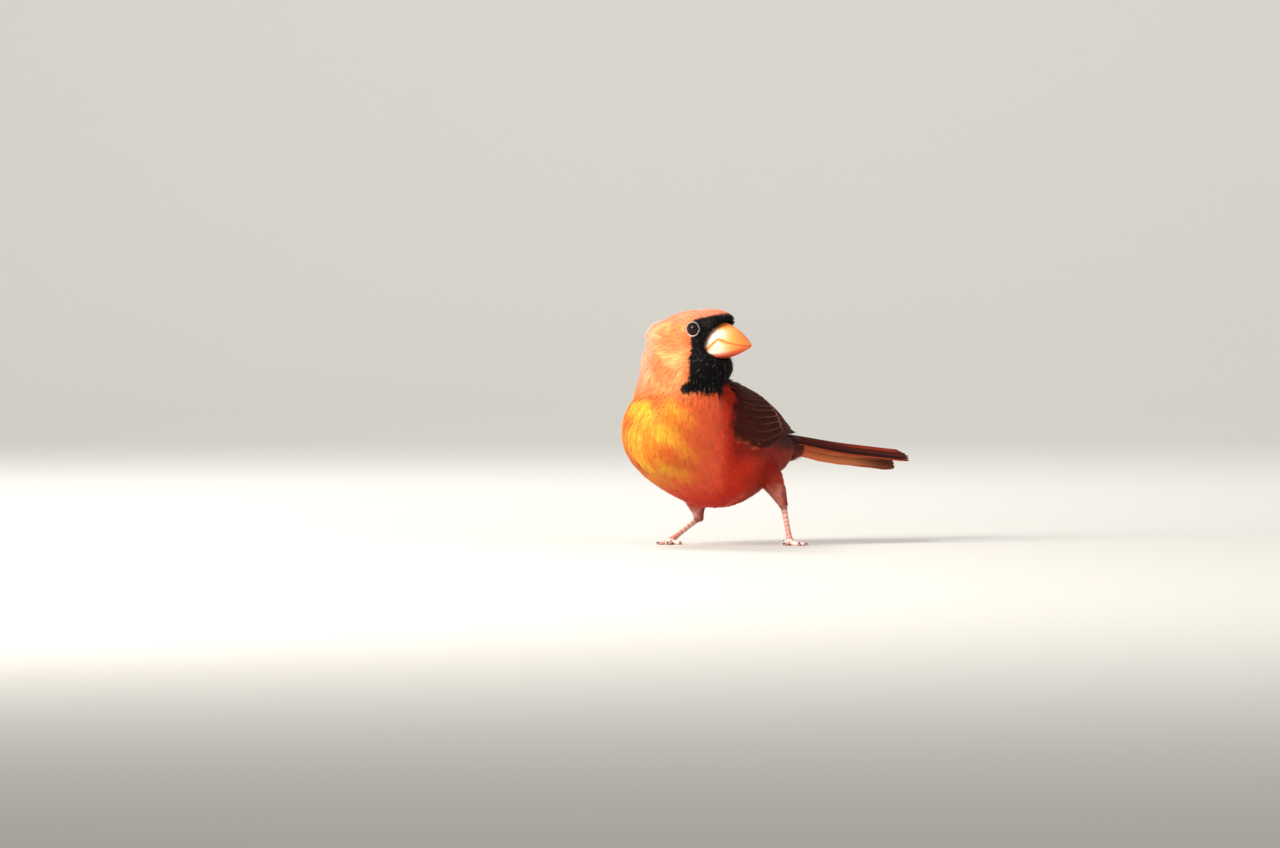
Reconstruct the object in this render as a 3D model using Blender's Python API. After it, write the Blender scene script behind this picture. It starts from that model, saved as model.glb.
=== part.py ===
"""A male northern cardinal, life size, standing with its head turned over its left shoulder.

The bird's body faces -Y and its left side is +X. The toes stand on z = 0.
The body is lofted whole from the trunk, neck and head, then parted with thin cuts.
"""

from math import cos, pi, radians, sin

import bmesh
import bpy
from mathutils import Vector

MM = 0.001
GAP = 0.3 * MM

# Driving dimensions, in millimetres unless an angle.
SKULL_CENTRE = Vector((3.0, -11.2, 102.0))
HEAD_TURN = radians(101)
EYE_RADIUS = 4.2
EYE_PLACE = (10.2, 9.7, 3.6)
TAIL_ROOT = Vector((0.6, 46.0, 53.0))
TAIL_LENGTH = 86.5
TAIL_YAW = radians(8)
TAIL_FALL = radians(6)
TAIL_FEATHERS = 12
TAIL_RIDGE = 1.6
TAIL_NOTCH = 2.2
# Each half of the tail: width at root and tip, drop of its edge at root and tip, rounding.
TAIL_LEFT = (7.6, 10.6, 4.0, 5.6, 5.0)
TAIL_RIGHT = (6.6, 7.0, 7.6, 10.4, 2.5)
TAIL_ROOT_THICKNESS = 1.5
TAIL_TIP_THICKNESS = 0.8
TARSUS_RADIUS = 1.25
TOE_RADIUS = 1.15
FOOT_PAD_RADIUS = 2.1
FOOT_PAD_HEIGHT = 1.5
FLOOR_CUT = 0.45
CLAW_BEND = radians(62)
CLAW_THICKNESS = 0.62
CLAW_RISE = 0.35
CLAW_TAPER = 0.86
BODY_VOXEL = 1.3
BODY_TRIANGLES = 1950

# Trunk stations along Y: y, lowest z, highest z, half width.
TRUNK = (
    (-44.5, 51.0, 58.0, 4.0),
    (-41.5, 43.5, 66.0, 12.5),
    (-35.0, 36.2, 74.0, 20.2),
    (-25.0, 29.4, 80.0, 25.6),
    (-13.0, 23.2, 83.0, 27.9),
    (0.0, 18.8, 82.5, 28.4),
    (11.0, 17.2, 79.0, 27.8),
    (21.0, 18.6, 75.0, 25.5),
    (31.0, 23.0, 70.0, 21.5),
    (41.0, 28.4, 63.5, 16.8),
    (50.0, 33.4, 58.2, 12.8),
    (58.0, 37.4, 55.4, 9.8),
    (64.0, 40.4, 53.6, 7.4),
    (66.5, 44.0, 51.5, 3.4),
)

# Neck stations upwards: z, x, y, half length along the bill's heading, half width across.
NECK = (
    (56.0, 0.0, -14.5, 25.5, 23.0),
    (66.0, 0.2, -14.0, 26.0, 22.5),
    (74.0, 1.0, -12.9, 25.6, 21.5),
    (82.0, 2.2, -12.2, 24.8, 20.2),
    (89.0, 2.7, -12.0, 24.8, 18.8),
    (93.5, 0.9, -11.8, 22.4, 16.9),
    (98.5, -0.4, -11.4, 15.6, 12.6),
)

# Head stations along the bill's heading: forward, lowest, highest, half width.
HEAD = (
    (-22.0, -5.0, 0.5, 3.5),
    (-20.0, -9.5, 3.2, 8.0),
    (-15.0, -13.5, 6.6, 12.2),
    (-8.0, -15.5, 10.2, 14.4),
    (0.0, -15.5, 12.6, 14.9),
    (6.0, -14.5, 13.3, 14.2),
    (10.5, -12.8, 13.3, 12.9),
    (14.0, -9.0, 13.0, 11.6),
    (17.5, -2.6, 12.4, 10.3),
    (21.0, 2.6, 11.4, 8.8),
    (24.3, 5.8, 9.0, 5.4),
)

# Bill stations along its heading: forward, lowest, highest, half width.
BILL = (
    (9.0, -7.0, 1.5, 4.0),
    (13.0, -10.2, 4.6, 6.2),
    (17.5, -11.0, 6.6, 7.0),
    (21.5, -10.7, 6.7, 6.9),
    (25.5, -9.8, 5.1, 5.9),
    (29.5, -8.4, 2.5, 4.4),
    (33.0, -6.8, -0.5, 2.7),
    (35.4, -5.7, -2.9, 1.2),
    (36.4, -5.0, -4.3, 0.4),
)
# Where the two halves of the bill meet: forward, up, from inside the head to past the tip.
COMMISSURE = ((5.0, -8.5), (14.0, -7.0), (21.6, -1.4), (26.5, -3.2), (31.5, -4.4), (40.0, -5.4))

# Crest stations along the crown: forward, top, half width, thickness.
CREST = (
    (3.0, 13.4, 2.2, 1.4),
    (-4.0, 12.0, 4.4, 2.4),
    (-10.5, 9.6, 4.8, 2.8),
    (-16.5, 6.3, 4.2, 2.7),
    (-21.0, 3.2, 2.8, 2.1),
    (-24.2, 0.4, 1.0, 1.1),
)

# Folded wing stations from shoulder to tip, for the left wing:
# lower edge y, x, z, then upper edge y, x, z, then the outward bulge.
WING = (
    (-15.0, 27.2, 55.5, -9.0, 20.0, 72.5, 2.6),
    (0.0, 29.6, 50.0, 4.0, 13.5, 80.5, 4.6),
    (16.0, 28.8, 48.0, 17.0, 9.5, 78.5, 5.6),
    (31.0, 24.0, 51.0, 32.0, 7.6, 73.5, 5.2),
    (44.0, 17.5, 53.4, 44.0, 5.2, 66.0, 3.8),
    (55.0, 11.0, 53.4, 55.0, 3.6, 59.6, 1.9),
    (63.5, 6.8, 54.0, 63.5, 3.8, 56.0, 0.4),
)
WING_THICKNESS = 2.3
WING_EDGE = 0.7
WING_LENGTH = 88.0
WING_COVERTS_END = 0.47
WING_COVERTS_SLANT = 0.10
COVERT_NOTCH = 0.018
WING_TIP_SLANT = 0.16
FLIGHT_NOTCH = 0.022
WING_CLEARANCE = 0.55
WING_CUT_REACH = 9.0

# Legs: knee end to ankle, then the foot joint, each a point with the limb's radius.
LEG_LEFT = {
    "thigh": ((13.5, 18.0, 43.0, 8.0), (18.0, 27.5, 35.5, 8.2), (21.6, 31.4, 27.6, 5.2),
              (24.8, 32.6, 20.4, 2.1)),
    "ankle": (25.6, 32.4, 19.0),
    "foot": (40.8, 20.8, 1.75),
    "heading": radians(60),
}
LEG_RIGHT = {
    "thigh": ((-7.5, 1.0, 31.0, 7.5), (-9.0, 5.5, 23.5, 6.2), (-10.8, 9.4, 17.6, 3.9),
              (-12.2, 12.0, 13.2, 2.0)),
    "ankle": (-12.4, 12.4, 12.4),
    "foot": (-10.6, -9.8, 1.75),
    "heading": radians(40),
}
# Toes: name, angle from the foot's heading (outer side positive), length, radius scale.
TOES = (
    ("middle", radians(2), 13.5, 1.0),
    ("inner", radians(-34), 9.0, 0.92),
    ("outer", radians(30), 10.0, 0.88),
    ("hallux", radians(182), 8.2, 1.0),
)
CLAW_LENGTHS = {"middle": 2.85, "inner": 2.42, "outer": 2.42, "hallux": 3.35}

UP = Vector((0.0, 0.0, 1.0))
HEAD_FORWARD = Vector((sin(HEAD_TURN), -cos(HEAD_TURN), 0.0))
HEAD_RIGHT = HEAD_FORWARD.cross(UP)

COLOURS = {
    "red_feather": ((0.62, 0.06, 0.02), 0.75),
    "wing_feather": ((0.22, 0.05, 0.03), 0.7),
    "bill": ((0.85, 0.22, 0.06), 0.4),
    "eye": ((0.02, 0.01, 0.01), 0.08),
    "leg": ((0.45, 0.22, 0.19), 0.55),
    "claw": ((0.12, 0.08, 0.07), 0.4),
}


def clear_scene():
    for obj in list(bpy.data.objects):
        bpy.data.objects.remove(obj, do_unlink=True)


def material(name):
    """The shared finish of one kind of surface."""
    found = bpy.data.materials.get(name)
    if found:
        return found
    colour, roughness = COLOURS[name]
    made = bpy.data.materials.new(name)
    made.use_nodes = True
    shader = made.node_tree.nodes["Principled BSDF"]
    shader.inputs["Base Color"].default_value = (*colour, 1.0)
    shader.inputs["Roughness"].default_value = roughness
    shader.inputs["Metallic"].default_value = 0.0
    return made


def spline(stations, steps):
    """Rows read smoothly through the stations, with `steps` rows to each stretch."""
    rows = []
    last = len(stations) - 1
    for index in range(last):
        a = stations[max(index - 1, 0)]
        b = stations[index]
        c = stations[index + 1]
        d = stations[min(index + 2, last)]
        for step in range(steps):
            t = step / steps
            rows.append(tuple(
                0.5 * (2 * q + (r - p) * t + (2 * p - 5 * q + 4 * r - s) * t ** 2
                       + (3 * q - p - 3 * r + s) * t ** 3)
                for p, q, r, s in zip(a, b, c, d)))
    rows.append(tuple(stations[last]))
    return rows


def head_point(forward, right, up):
    """A place in the head's own axes, in millimetres, as a place in the bird's."""
    return SKULL_CENTRE + HEAD_FORWARD * forward + HEAD_RIGHT * right + UP * up


def ring(centre, side, rise, half_width, above, below, power=2.0, count=28):
    """A closed outline, elliptical or squarer, whose upper and lower halves differ."""
    points = []
    for index in range(count):
        angle = 2 * pi * index / count
        across = abs(cos(angle)) ** (2 / power) * (1 if cos(angle) >= 0 else -1)
        along = abs(sin(angle)) ** (2 / power) * (1 if sin(angle) >= 0 else -1)
        height = above if along >= 0 else below
        points.append(centre + side * (half_width * across) + rise * (height * along))
    return points


def make_object(name, mesh, finish):
    obj = bpy.data.objects.new(name, mesh)
    bpy.context.scene.collection.objects.link(obj)
    mesh.materials.clear()
    mesh.materials.append(material(finish))
    return obj


def close_mesh(bm, name, finish):
    """Turn a closed surface's faces outwards and make it an object."""
    bmesh.ops.recalc_face_normals(bm, faces=bm.faces)
    if bm.calc_volume(signed=True) < 0:
        bmesh.ops.reverse_faces(bm, faces=bm.faces)
    mesh = bpy.data.meshes.new(name)
    bm.to_mesh(mesh)
    bm.free()
    return make_object(name, mesh, finish)


def loft(name, rings, finish):
    """A closed solid through the rings, its two ends closed by fans."""
    bm = bmesh.new()
    loops = [[bm.verts.new(point * MM) for point in points] for points in rings]
    count = len(loops[0])
    for near, far in zip(loops, loops[1:]):
        for index in range(count):
            after = (index + 1) % count
            bm.faces.new((near[index], near[after], far[after], far[index]))
    for loop in (loops[0], loops[-1]):
        middle = sum((vert.co for vert in loop), Vector()) / count
        pole = bm.verts.new(middle)
        for index in range(count):
            bm.faces.new((loop[index], loop[(index + 1) % count], pole))
    return close_mesh(bm, name, finish)


def tube(name, stations, finish, steps=4, count=12):
    """A tapered limb through points that each carry a radius."""
    rows = spline(stations, steps)
    rings = []
    for index, row in enumerate(rows):
        before = Vector(rows[max(index - 1, 0)][:3])
        after = Vector(rows[min(index + 1, len(rows) - 1)][:3])
        heading = (after - before).normalized()
        side = heading.cross(UP)
        side = side.normalized() if side.length > 0.05 else Vector((1.0, 0.0, 0.0))
        rise = side.cross(heading)
        rings.append(ring(Vector(row[:3]), side, rise, row[3], row[3], row[3], count=count))
    return loft(name, rings, finish)


def sheet(name, surface, thickness, rows, columns, finish, out=0.0, inward=0.0, through=None):
    """A closed thin solid under a surface given by a function of two fractions.

    out and inward move its outer and inner faces further apart, along `through`
    where that is given and otherwise along the surface's own normal.
    """
    step = 0.01
    grids = ([], [])
    for i in range(rows + 1):
        s = i / rows
        lines = ([], [])
        for j in range(columns + 1):
            t = j / columns
            here = surface(s, t)
            along = surface(min(s + step, 1.0), t) - surface(max(s - step, 0.0), t)
            across = surface(s, min(t + step, 1.0)) - surface(s, max(t - step, 0.0))
            normal = through or along.cross(across).normalized()
            lines[0].append(here + normal * out)
            lines[1].append(here - normal * (thickness(s, t) + inward))
        grids[0].append(lines[0])
        grids[1].append(lines[1])
    bm = bmesh.new()
    faces = [[[bm.verts.new(p * MM) for p in line] for line in grid] for grid in grids]
    for grid in faces:
        for i in range(rows):
            for j in range(columns):
                bm.faces.new((grid[i][j], grid[i][j + 1], grid[i + 1][j + 1], grid[i + 1][j]))
    outer, inner = faces
    for j in range(columns):
        for i in (0, rows):
            bm.faces.new((outer[i][j], outer[i][j + 1], inner[i][j + 1], inner[i][j]))
    for i in range(rows):
        for j in (0, columns):
            bm.faces.new((outer[i][j], outer[i + 1][j], inner[i + 1][j], inner[i][j]))
    return close_mesh(bm, name, finish)


def ball(name, centre, radius, finish, segments=14, rings=8):
    bm = bmesh.new()
    bmesh.ops.create_uvsphere(bm, u_segments=segments, v_segments=rings, radius=radius * MM)
    bmesh.ops.translate(bm, verts=bm.verts, vec=centre * MM)
    return close_mesh(bm, name, finish)


def settle(obj):
    """Replace an object's mesh by what its modifiers make of it."""
    bpy.context.view_layer.update()
    graph = bpy.context.evaluated_depsgraph_get()
    mesh = bpy.data.meshes.new_from_object(obj.evaluated_get(graph))
    obj.modifiers.clear()
    obj.data = mesh


def combine(obj, other, operation, keep_other=False):
    """Join or cut obj with other by an exact Boolean."""
    boolean = obj.modifiers.new(operation.lower(), "BOOLEAN")
    boolean.operation = operation
    boolean.solver = "EXACT"
    boolean.object = other
    settle(obj)
    if not keep_other:
        bpy.data.objects.remove(other, do_unlink=True)


def keep_above(obj, point, normal):
    """Cut obj flat through a point and keep the side that the normal points to."""
    bm = bmesh.new()
    bm.from_mesh(obj.data)
    geometry = bm.verts[:] + bm.edges[:] + bm.faces[:]
    cut = bmesh.ops.bisect_plane(bm, geom=geometry, plane_co=point * MM, plane_no=normal,
                                 clear_inner=True)
    edges = [item for item in cut["geom_cut"] if isinstance(item, bmesh.types.BMEdge)]
    bmesh.ops.triangle_fill(bm, edges=edges, use_beauty=True)
    bmesh.ops.recalc_face_normals(bm, faces=bm.faces)
    bm.to_mesh(obj.data)
    bm.free()


def duplicate(obj, name):
    copy = bpy.data.objects.new(name, obj.data.copy())
    bpy.context.scene.collection.objects.link(copy)
    return copy


def mirror_x(point):
    return Vector((-point.x, point.y, point.z))


# Trunk, neck and head -------------------------------------------------------------------


def tail_offset(y):
    """How far the rump follows the tail to the bird's left at this y."""
    return max(0.0, y - TAIL_ROOT.y + 9.0) * sin(TAIL_YAW)


def make_trunk():
    rings = []
    for y, low, high, half in spline(TRUNK, 3):
        centre = Vector((tail_offset(y), y, (low + high) / 2))
        rise = (high - low) / 2
        rings.append(ring(centre, Vector((1.0, 0.0, 0.0)), UP, half, rise, rise, power=2.15))
    return loft("trunk", rings, "red_feather")


def make_neck():
    rings = []
    for z, x, y, along, across in spline(NECK, 3):
        rings.append(ring(Vector((x, y, z)), HEAD_RIGHT, HEAD_FORWARD, across, along, along))
    return loft("neck", rings, "red_feather")


def make_head():
    rings = []
    for forward, low, high, half in spline(HEAD, 3):
        centre = head_point(forward, 0.0, (low + high) / 2)
        rise = (high - low) / 2
        rings.append(ring(centre, HEAD_RIGHT, UP, half, rise, rise, power=2.25))
    return loft("head", rings, "red_feather")


def make_body():
    """The trunk, neck and head as one smooth feathered body."""
    body = make_trunk()
    combine(body, make_neck(), "UNION")
    combine(body, make_head(), "UNION")
    remesh = body.modifiers.new("even", "REMESH")
    remesh.mode = "VOXEL"
    remesh.voxel_size = BODY_VOXEL * MM
    smooth = body.modifiers.new("soft", "SMOOTH")
    smooth.factor = 0.5
    smooth.iterations = 7
    settle(body)
    triangles = sum(len(face.vertices) - 2 for face in body.data.polygons)
    reduce = body.modifiers.new("light", "DECIMATE")
    reduce.ratio = BODY_TRIANGLES / triangles
    settle(body)
    return body


HEAD_CUT = head_point(0.0, 0.0, -11.5)
HEAD_CUT_NORMAL = (UP * 0.97 + HEAD_FORWARD * 0.24).normalized()
NECK_CUT = Vector((0.0, -12.0, 70.5))
NECK_CUT_NORMAL = Vector((0.06, -0.42, 0.9)).normalized()


def part_body(body):
    """Divide the body by two thin flat cuts into trunk, neck and head."""
    half = NECK_CUT_NORMAL * (GAP / MM / 2)
    head_half = HEAD_CUT_NORMAL * (GAP / MM / 2)
    head = duplicate(body, "head")
    keep_above(head, HEAD_CUT + head_half, HEAD_CUT_NORMAL)
    neck = duplicate(body, "neck")
    keep_above(neck, HEAD_CUT - head_half, -HEAD_CUT_NORMAL)
    keep_above(neck, NECK_CUT + half, NECK_CUT_NORMAL)
    keep_above(body, NECK_CUT - half, -NECK_CUT_NORMAL)
    body.name = "trunk"
    return body, neck, head


# Bill, eyes and crest -------------------------------------------------------------------


def bill_loft(name, grow=0.0):
    rings = []
    for forward, low, high, half in spline(BILL, 2):
        centre = head_point(forward - grow, 0.0, (low + high) / 2)
        rise = (high - low) / 2 + grow
        rings.append(ring(centre, HEAD_RIGHT, UP, half + grow, rise, rise, power=1.9, count=16))
    return loft(name, rings, "bill")


def commissure_block(name, side):
    """A block whose one face follows the commissure: side is +1 above it, -1 below it."""
    far = 30.0
    half_gap = GAP / MM / 2
    outline = [(forward, up + side * half_gap) for forward, up in COMMISSURE]
    outline += [(COMMISSURE[-1][0], far * side), (COMMISSURE[0][0], far * side)]
    bm = bmesh.new()
    walls = [[bm.verts.new(head_point(forward, reach, up) * MM) for forward, up in outline]
             for reach in (-far, far)]
    for wall in walls:
        bm.faces.new(wall)
    for index in range(len(outline)):
        after = (index + 1) % len(outline)
        bm.faces.new((walls[0][index], walls[0][after], walls[1][after], walls[1][index]))
    return close_mesh(bm, name, "bill")


def make_bill():
    upper = bill_loft("upper_bill")
    lower = bill_loft("lower_bill")
    combine(upper, commissure_block("above", 1), "INTERSECT")
    combine(lower, commissure_block("below", -1), "INTERSECT")
    return upper, lower


def eye_centre(side):
    forward, right, up = EYE_PLACE
    return head_point(forward, right * side, up)


def make_crest(name, grow=0.0):
    rings = []
    for forward, top, half, thick in spline(CREST, 2):
        centre = head_point(forward, 0.0, top - thick / 2)
        rise = thick / 2 + grow
        rings.append(ring(centre, HEAD_RIGHT, UP, half + grow, rise, rise, count=10))
    return loft(name, rings, "red_feather")


# Wings ----------------------------------------------------------------------------------

WING_ROWS = spline(WING, 8)


def wing_row(s):
    """The wing's station at the fraction s of its length."""
    place = s * (len(WING_ROWS) - 1)
    index = max(0, min(int(place), len(WING_ROWS) - 2))
    part = place - index
    return [a + (b - a) * part for a, b in zip(WING_ROWS[index], WING_ROWS[index + 1])]


def wing_surface(s, t):
    """The outer face of the folded left wing; t runs from its lower to its upper edge."""
    yb, xb, zb, yt, xt, zt, bulge = wing_row(s)
    low = Vector((xb, yb, zb))
    high = Vector((xt, yt, zt))
    chord = high - low
    outward = Vector((chord.z, 0.0, -chord.x)).normalized()
    return low + chord * t + outward * (bulge * 4 * t * (1 - t))


def wing_thickness(s, t):
    middle = 4 * t * (1 - t)
    ends = min(1.0, 5 * s, 4 * (1 - s) + 0.05)
    return WING_EDGE + (WING_THICKNESS - WING_EDGE) * max(middle, 0.0) * max(ends, 0.0)


def covert_edge(t):
    """Where the coverts end, in five rounded feather tips."""
    return WING_COVERTS_END + COVERT_NOTCH * abs(sin(5 * pi * t)) - WING_COVERTS_SLANT * t


def feather_tips(t):
    """Where the flight feathers end: the longest primary low, the tertials high and short."""
    notch = FLIGHT_NOTCH * (1 - abs(sin(6 * pi * t)))
    return 1.0 - WING_TIP_SLANT * t ** 1.5 - notch


def wing_pieces(side):
    """The coverts and the flight feathers of one folded wing, and the cutter for both."""
    suffix = "left" if side > 0 else "right"
    place = (lambda p: p) if side > 0 else mirror_x
    split = GAP / MM / WING_LENGTH

    def coverts(s, t):
        return place(wing_surface(s * (covert_edge(t) - split), t))

    def flight(s, t):
        start = covert_edge(t)
        return place(wing_surface(start + s * (feather_tips(t) - start), t))

    def whole(s, t):
        margin = 0.02
        ends = 0.006
        return place(wing_surface(s * (1 + 2 * ends) - ends, t * (1 + 2 * margin) - margin))

    def covert_thickness(s, t):
        return wing_thickness(s * covert_edge(t), t)

    def flight_thickness(s, t):
        start = covert_edge(t)
        return wing_thickness(start + s * (feather_tips(t) - start), t)

    sign = 1.0 if side > 0 else -1.0
    pieces = []
    for name, surface, thickness, rows in (("wing_", coverts, covert_thickness, 5),
                                           ("flight_feathers_", flight, flight_thickness, 5)):
        pieces.append(oriented_sheet(name + suffix, surface, thickness, rows, 12, sign))
    cutter = oriented_sheet("cutter", whole, wing_thickness, 16, 8, sign, WING_CUT_REACH,
                            WING_CLEARANCE)
    return pieces, cutter


def oriented_sheet(name, surface, thickness, rows, columns, sign, out=0.0, inward=0.0):
    """A sheet whose thickness goes towards the body on either side of the bird."""
    if sign > 0:
        def turned(s, t):
            return surface(s, t)
        depth = thickness
    else:
        def turned(s, t):
            return surface(s, 1 - t)

        def depth(s, t):
            return thickness(s, 1 - t)
    return sheet(name, turned, depth, rows, columns, "wing_feather", out, inward)


# Tail -----------------------------------------------------------------------------------


TAIL_ALONG = Vector((sin(TAIL_YAW), cos(TAIL_YAW), 0.0)) * cos(TAIL_FALL) - UP * sin(TAIL_FALL)
TAIL_ACROSS = TAIL_ALONG.cross(UP).normalized()
TAIL_RISE = TAIL_ACROSS.cross(TAIL_ALONG)


def tail_surface(s, t, grow=0.0):
    """The tail's upper face: a low roof, its right half the steeper, with feathered tips."""
    side = 2 * t - 1
    root_half, tip_half, root_drop, tip_drop, rounding = TAIL_LEFT if side > 0 else TAIL_RIGHT
    notch = TAIL_NOTCH * (1 - abs(sin(TAIL_FEATHERS * pi * t / 2)))
    reach = s * (TAIL_LENGTH - rounding * side ** 2 - notch)
    half = root_half + (tip_half - root_half) * s
    drop = (root_drop + (tip_drop - root_drop) * min(1.0, 2 * s)) * abs(side) ** 1.2
    drop *= (half + grow) / half
    place = TAIL_ROOT + TAIL_ALONG * reach + TAIL_ACROSS * (side * (half + grow))
    return place + TAIL_RISE * (TAIL_RIDGE - drop)


def tail_thickness(s, t):
    return TAIL_ROOT_THICKNESS + (TAIL_TIP_THICKNESS - TAIL_ROOT_THICKNESS) * s


def make_tail():
    return sheet("tail", lambda s, t: tail_surface(s, 1 - t), tail_thickness, 4, 24,
                 "wing_feather", through=TAIL_RISE)


def make_tail_cutter():
    """The root of the tail, a gap larger all round, to make its place in the rump."""
    grow = GAP / MM
    reach = 0.4
    ahead = 0.01

    def root(s, t):
        return tail_surface(reach * s - ahead, 1 - t, grow)

    def root_thickness(s, t):
        return tail_thickness(reach * s - ahead, t)
    return sheet("cut", root, root_thickness, 1, 24, "wing_feather", grow, grow, TAIL_RISE)


# Legs -----------------------------------------------------------------------------------


def heading_of(angle):
    """A level direction turned from straight ahead (-Y) towards the bird's left (+X)."""
    return Vector((sin(angle), -cos(angle), 0.0))


def toe_stations(start, direction, length, scale):
    """A toe arched over its pads, from the foot joint to the root of its claw."""
    thick = TOE_RADIUS * scale
    rows = []
    profile = ((0.0, 0.4, 1.15), (0.35, 0.28, 1.0), (0.65, 0.12, 0.98), (1.0, 0.0, 0.8))
    for part, arch, swell in profile:
        radius = thick * swell
        point = start + direction * (length * part)
        rows.append((point.x, point.y, radius - FLOOR_CUT + arch, radius))
    return rows


def claw_stations(start, direction, length, thick):
    """A claw curving down from the toe's end to its point on the floor."""
    rows = []
    steps = 4
    radius = length / CLAW_BEND
    for step in range(steps + 1):
        angle = CLAW_BEND * step / steps
        point = start + direction * (radius * sin(angle)) + UP * (radius * (cos(angle) - 1))
        rows.append((point.x, point.y, point.z, thick * (1 - CLAW_TAPER * step / steps)))
    lift = max(0.0, -min(z - r for _, _, z, r in rows))
    return [(x, y, z + lift, r) for x, y, z, r in rows]


def make_leg(leg, suffix):
    """Feathered thigh, shank, foot and four claws of one leg."""
    side = 1 if suffix == "left" else -1
    ankle = Vector(leg["ankle"])
    joint = Vector(leg["foot"])
    thigh = tube("thigh_" + suffix, leg["thigh"], "red_feather", steps=2, count=12)
    down = (joint - ankle).normalized()
    foot_top = joint - down * 3.0
    shank_rows = [
        (*(ankle - down * 1.4), TARSUS_RADIUS * 0.8),
        (*ankle, TARSUS_RADIUS * 1.4),
        (*(ankle + down * 3.0), TARSUS_RADIUS * 1.08),
        (*((ankle + joint) / 2), TARSUS_RADIUS * 0.92),
        (*(foot_top - down * 2.0), TARSUS_RADIUS * 0.98),
        (*foot_top, TARSUS_RADIUS * 1.15),
    ]
    shank = tube("shank_" + suffix, shank_rows, "leg", steps=2, count=9)
    grown = [(*(ankle - down * 2.0), TARSUS_RADIUS * 0.8 + GAP / MM)]
    grown += [(x, y, z, r + GAP / MM) for x, y, z, r in shank_rows[1:]]
    combine(thigh, tube("cut", grown, "leg", steps=2, count=9), "DIFFERENCE")

    neck_rows = [
        (*(foot_top + down * (GAP / MM)), TARSUS_RADIUS * 1.15),
        (*(joint - down * 1.2), TARSUS_RADIUS * 1.2),
        (*joint, TARSUS_RADIUS * 1.25),
        (joint.x, joint.y, joint.z - 0.2, TARSUS_RADIUS * 1.0),
    ]
    foot = tube("foot_" + suffix, neck_rows, "leg", steps=1, count=9)
    pad = ball("pad", Vector((joint.x, joint.y, FOOT_PAD_HEIGHT)), FOOT_PAD_RADIUS, "leg", 10, 7)
    combine(foot, pad, "UNION")
    for name, angle, length, scale in TOES:
        direction = heading_of(leg["heading"] + angle * side)
        stations = toe_stations(joint, direction, length, scale)
        toe = tube("toe", stations, "leg", steps=1, count=8)
        combine(foot, toe, "UNION")
        tip = Vector(stations[-1][:3])
        thick = TOE_RADIUS * scale * CLAW_THICKNESS
        claw_start = tip + direction * (GAP / MM) + UP * CLAW_RISE
        rows = claw_stations(claw_start, direction, CLAW_LENGTHS[name], thick)
        tube("claw_" + name + "_" + suffix, rows, "claw", steps=1, count=7)
    keep_above(foot, Vector((0.0, 0.0, 0.0)), UP)


def make_thigh_cutter(leg):
    rows = [(x, y, z, r + GAP / MM) for x, y, z, r in leg["thigh"]]
    return tube("cut", rows, "leg", steps=2, count=12)


# Assembly -------------------------------------------------------------------------------


def smooth_all():
    for obj in bpy.data.objects:
        if obj.type == "MESH":
            obj.data.shade_smooth()
            obj.data.set_sharp_from_angle(angle=radians(40))


def centre_on_floor():
    """Move the whole bird so that the middle of its box's underside is the origin."""
    corners = [obj.matrix_world @ vert.co for obj in bpy.data.objects for vert in obj.data.vertices]
    low = [min(corner[axis] for corner in corners) for axis in range(3)]
    high = [max(corner[axis] for corner in corners) for axis in range(3)]
    shift = Vector(((low[0] + high[0]) / 2, (low[1] + high[1]) / 2, low[2]))
    for obj in bpy.data.objects:
        obj.location = obj.location - shift


def main():
    clear_scene()
    trunk, neck, head = part_body(make_body())
    for grown in (bill_loft("cut", GAP / MM),
                  ball("cut", eye_centre(1), EYE_RADIUS + GAP / MM, "eye"),
                  ball("cut", eye_centre(-1), EYE_RADIUS + GAP / MM, "eye"),
                  make_crest("cut", GAP / MM)):
        combine(head, grown, "DIFFERENCE")
    make_bill()
    ball("eye_right", eye_centre(1), EYE_RADIUS, "eye")
    ball("eye_left", eye_centre(-1), EYE_RADIUS, "eye")
    make_crest("crest")
    for side in (1, -1):
        pieces, cutter = wing_pieces(side)
        combine(trunk, cutter, "DIFFERENCE", keep_other=True)
        combine(neck, cutter, "DIFFERENCE")
    make_tail()
    combine(trunk, make_tail_cutter(), "DIFFERENCE")
    for leg, suffix in ((LEG_LEFT, "left"), (LEG_RIGHT, "right")):
        make_leg(leg, suffix)
        combine(trunk, make_thigh_cutter(leg), "DIFFERENCE")
    smooth_all()
    centre_on_floor()


main()
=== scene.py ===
"""The looks of a standing male northern cardinal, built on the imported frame.

Lengths are in millimetres in the bird's own axes until a mesh is made: the body faces -Y,
its left side is +X, and the head is turned over the left shoulder.
"""

from functools import partial
from math import cos, pi, radians, sin

import bpy
import numpy as np
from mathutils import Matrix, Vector
from mathutils.bvhtree import BVHTree
from mathutils.kdtree import KDTree


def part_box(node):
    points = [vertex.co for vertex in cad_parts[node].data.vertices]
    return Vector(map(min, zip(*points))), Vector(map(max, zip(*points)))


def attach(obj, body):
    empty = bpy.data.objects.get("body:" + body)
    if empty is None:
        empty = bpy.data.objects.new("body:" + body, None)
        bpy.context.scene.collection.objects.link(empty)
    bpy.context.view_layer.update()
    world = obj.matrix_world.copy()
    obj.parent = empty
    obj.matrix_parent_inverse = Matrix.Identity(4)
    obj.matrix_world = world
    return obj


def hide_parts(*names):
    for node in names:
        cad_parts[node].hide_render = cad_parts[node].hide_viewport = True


MM = 0.001
SEED = 41
UP = np.array((0.0, 0.0, 1.0))

# The head, as in the solids: its middle, and the eyes' place forward of and above that.
SKULL = np.array((3.0, -11.2, 102.0))
EYE_FORWARD = 10.2
EYE_RISE = 3.6
EYE_RADIUS = 4.2
EYE_SIDE = 9.7
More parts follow.
